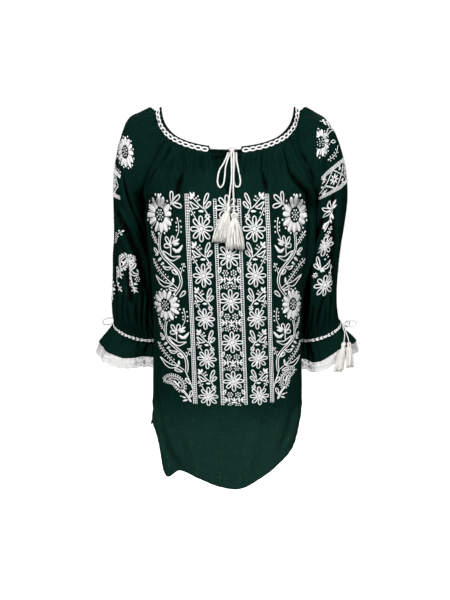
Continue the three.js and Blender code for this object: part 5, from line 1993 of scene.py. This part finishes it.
def laceTile(pitch, chance):
    # one scallop's flower, leaves and border dots
    entries = []
    x, y = pitch / 2 + chance.uniform(-0.3, 0.3), 12.4 + chance.uniform(-0.3, 0.3)
    for k in range(6):
        angle = 2 * math.pi * k / 6 + chance.uniform(-0.08, 0.08)
        cx, cy = math.cos(angle), math.sin(angle)
        entries.append(("leaf", [(x + 0.9 * cx, y + 0.9 * cy), (x + 5.2 * cx, y + 5.0 * cy)], 4.1))
    entries.append(("dot", [(x, y)], 1.5))
    for side in (-1, 1):
        entries.append(("leaf", [(x + side * 4.6, y - 4.2), (x + side * 9.2, y - 8.2)], 3.2))
        entries.append(("leaf", [(x + side * 4.2, y - 5.6), (x + side * 4.0, y - 10.6)], 2.8))
        entries.append(("leaf", [(x + side * 6.2, y + 2.6), (x + side * 9.4, y - 1.6)], 2.6))
    return entries


def makeLace(side):
    s = laceSettings
    name = sideNames[side]
    surface = pieceSurface(("sleeve", side))
    us = np.linspace(form["flounceHemRow"] - 0.12, form["laceHemRow"], 12)
    places = np.linspace(-1.14, 1.14, 229)
    cloth = layOutCloth(surface, us, (us - us[0]) / (us[-1] - us[0]) * s["depth"], lambda u: places)
    hangHem(side, cloth)
    place, row = cloth["place"], cloth["row"]
    loose = smooth((row - form["flounceHemRow"]) / 1.0)
    height = flounceHeight(side, np.where(np.abs(place) > 1, place - 2 * np.sign(place), place), row) - 0.9
    height += loose * s["ruffle"] * np.cos(23 * math.pi * place + 1.5 * np.sin(2 * math.pi * place + side))
    height += loose * 0.8 * s["ruffle"] * np.cos(14 * math.pi * place + 2)
    raiseCloth(cloth, height)
    cloth["normals"] = surfaceNormals(cloth["points"])
    pitch = s["pitch"]
    whole = pitch * s["scallops"]
    cloth["across"] = place * whole / 2
    chance = random.Random(90 + side)
    entries, lines, cords = [], [], []
    threads = int(whole / (s["mesh"] * 1.25))
    for k in range(s["scallops"]):
        entries += placed(laceTile(pitch, chance), -whole / 2 + pitch * k, 0)
    for way in (-1, 1):
        # the net's two slanting sets of threads, each cut off at the edge
        for k in range(threads):
            start = -whole / 2 + whole * k / threads
            line = []
            y = 0.4
            while True:
                x = start + way * 0.8 * y
                edge = laceEdge(x + whole / 2, pitch)
                line.append((x, min(y, edge)))
                if y >= edge:
                    break
                y += s["mesh"]
            if len(line) > 2:
                lines.append((line, False))
    xs = np.linspace(-whole / 2, whole / 2, s["scallops"] * 9 + 1)[:-1]
    for offset in (0, 1.9):
        cords.append(([(x, laceEdge(x + whole / 2, pitch) - offset) for x in xs], False))
        cords[-1][0].append((whole / 2, laceEdge(0, pitch) - offset))
    cords.append(([(x, 0.5) for x in np.linspace(-whole / 2, whole / 2, 150)], False))
    points, faces = patternMesh(entries, s["relief"])
    for routes, width in ((lines, s["thread"]), (cords, s["cord"])):
        linePoints, lineFaces = threadLines(routes, width, width / 2, even=False)
        faces += [tuple(len(points) + i for i in face) for face in lineFaces]
        points = np.vstack([points, linePoints])
    points[:, 0] = np.clip(points[:, 0], -1.139 * whole / 2, 1.139 * whole / 2)
    laid = layOn(cloth, points[:, :2], points[:, 2])
    piece = addMesh(f"{name}LaceEdging", laid * mm, [tuple(reversed(f)) for f in faces])
    finishPiece(piece, laceMaterial, "lace", f"lace_{name}")


for side in (-1, 1):
    makeLace(side)
print("lace made")
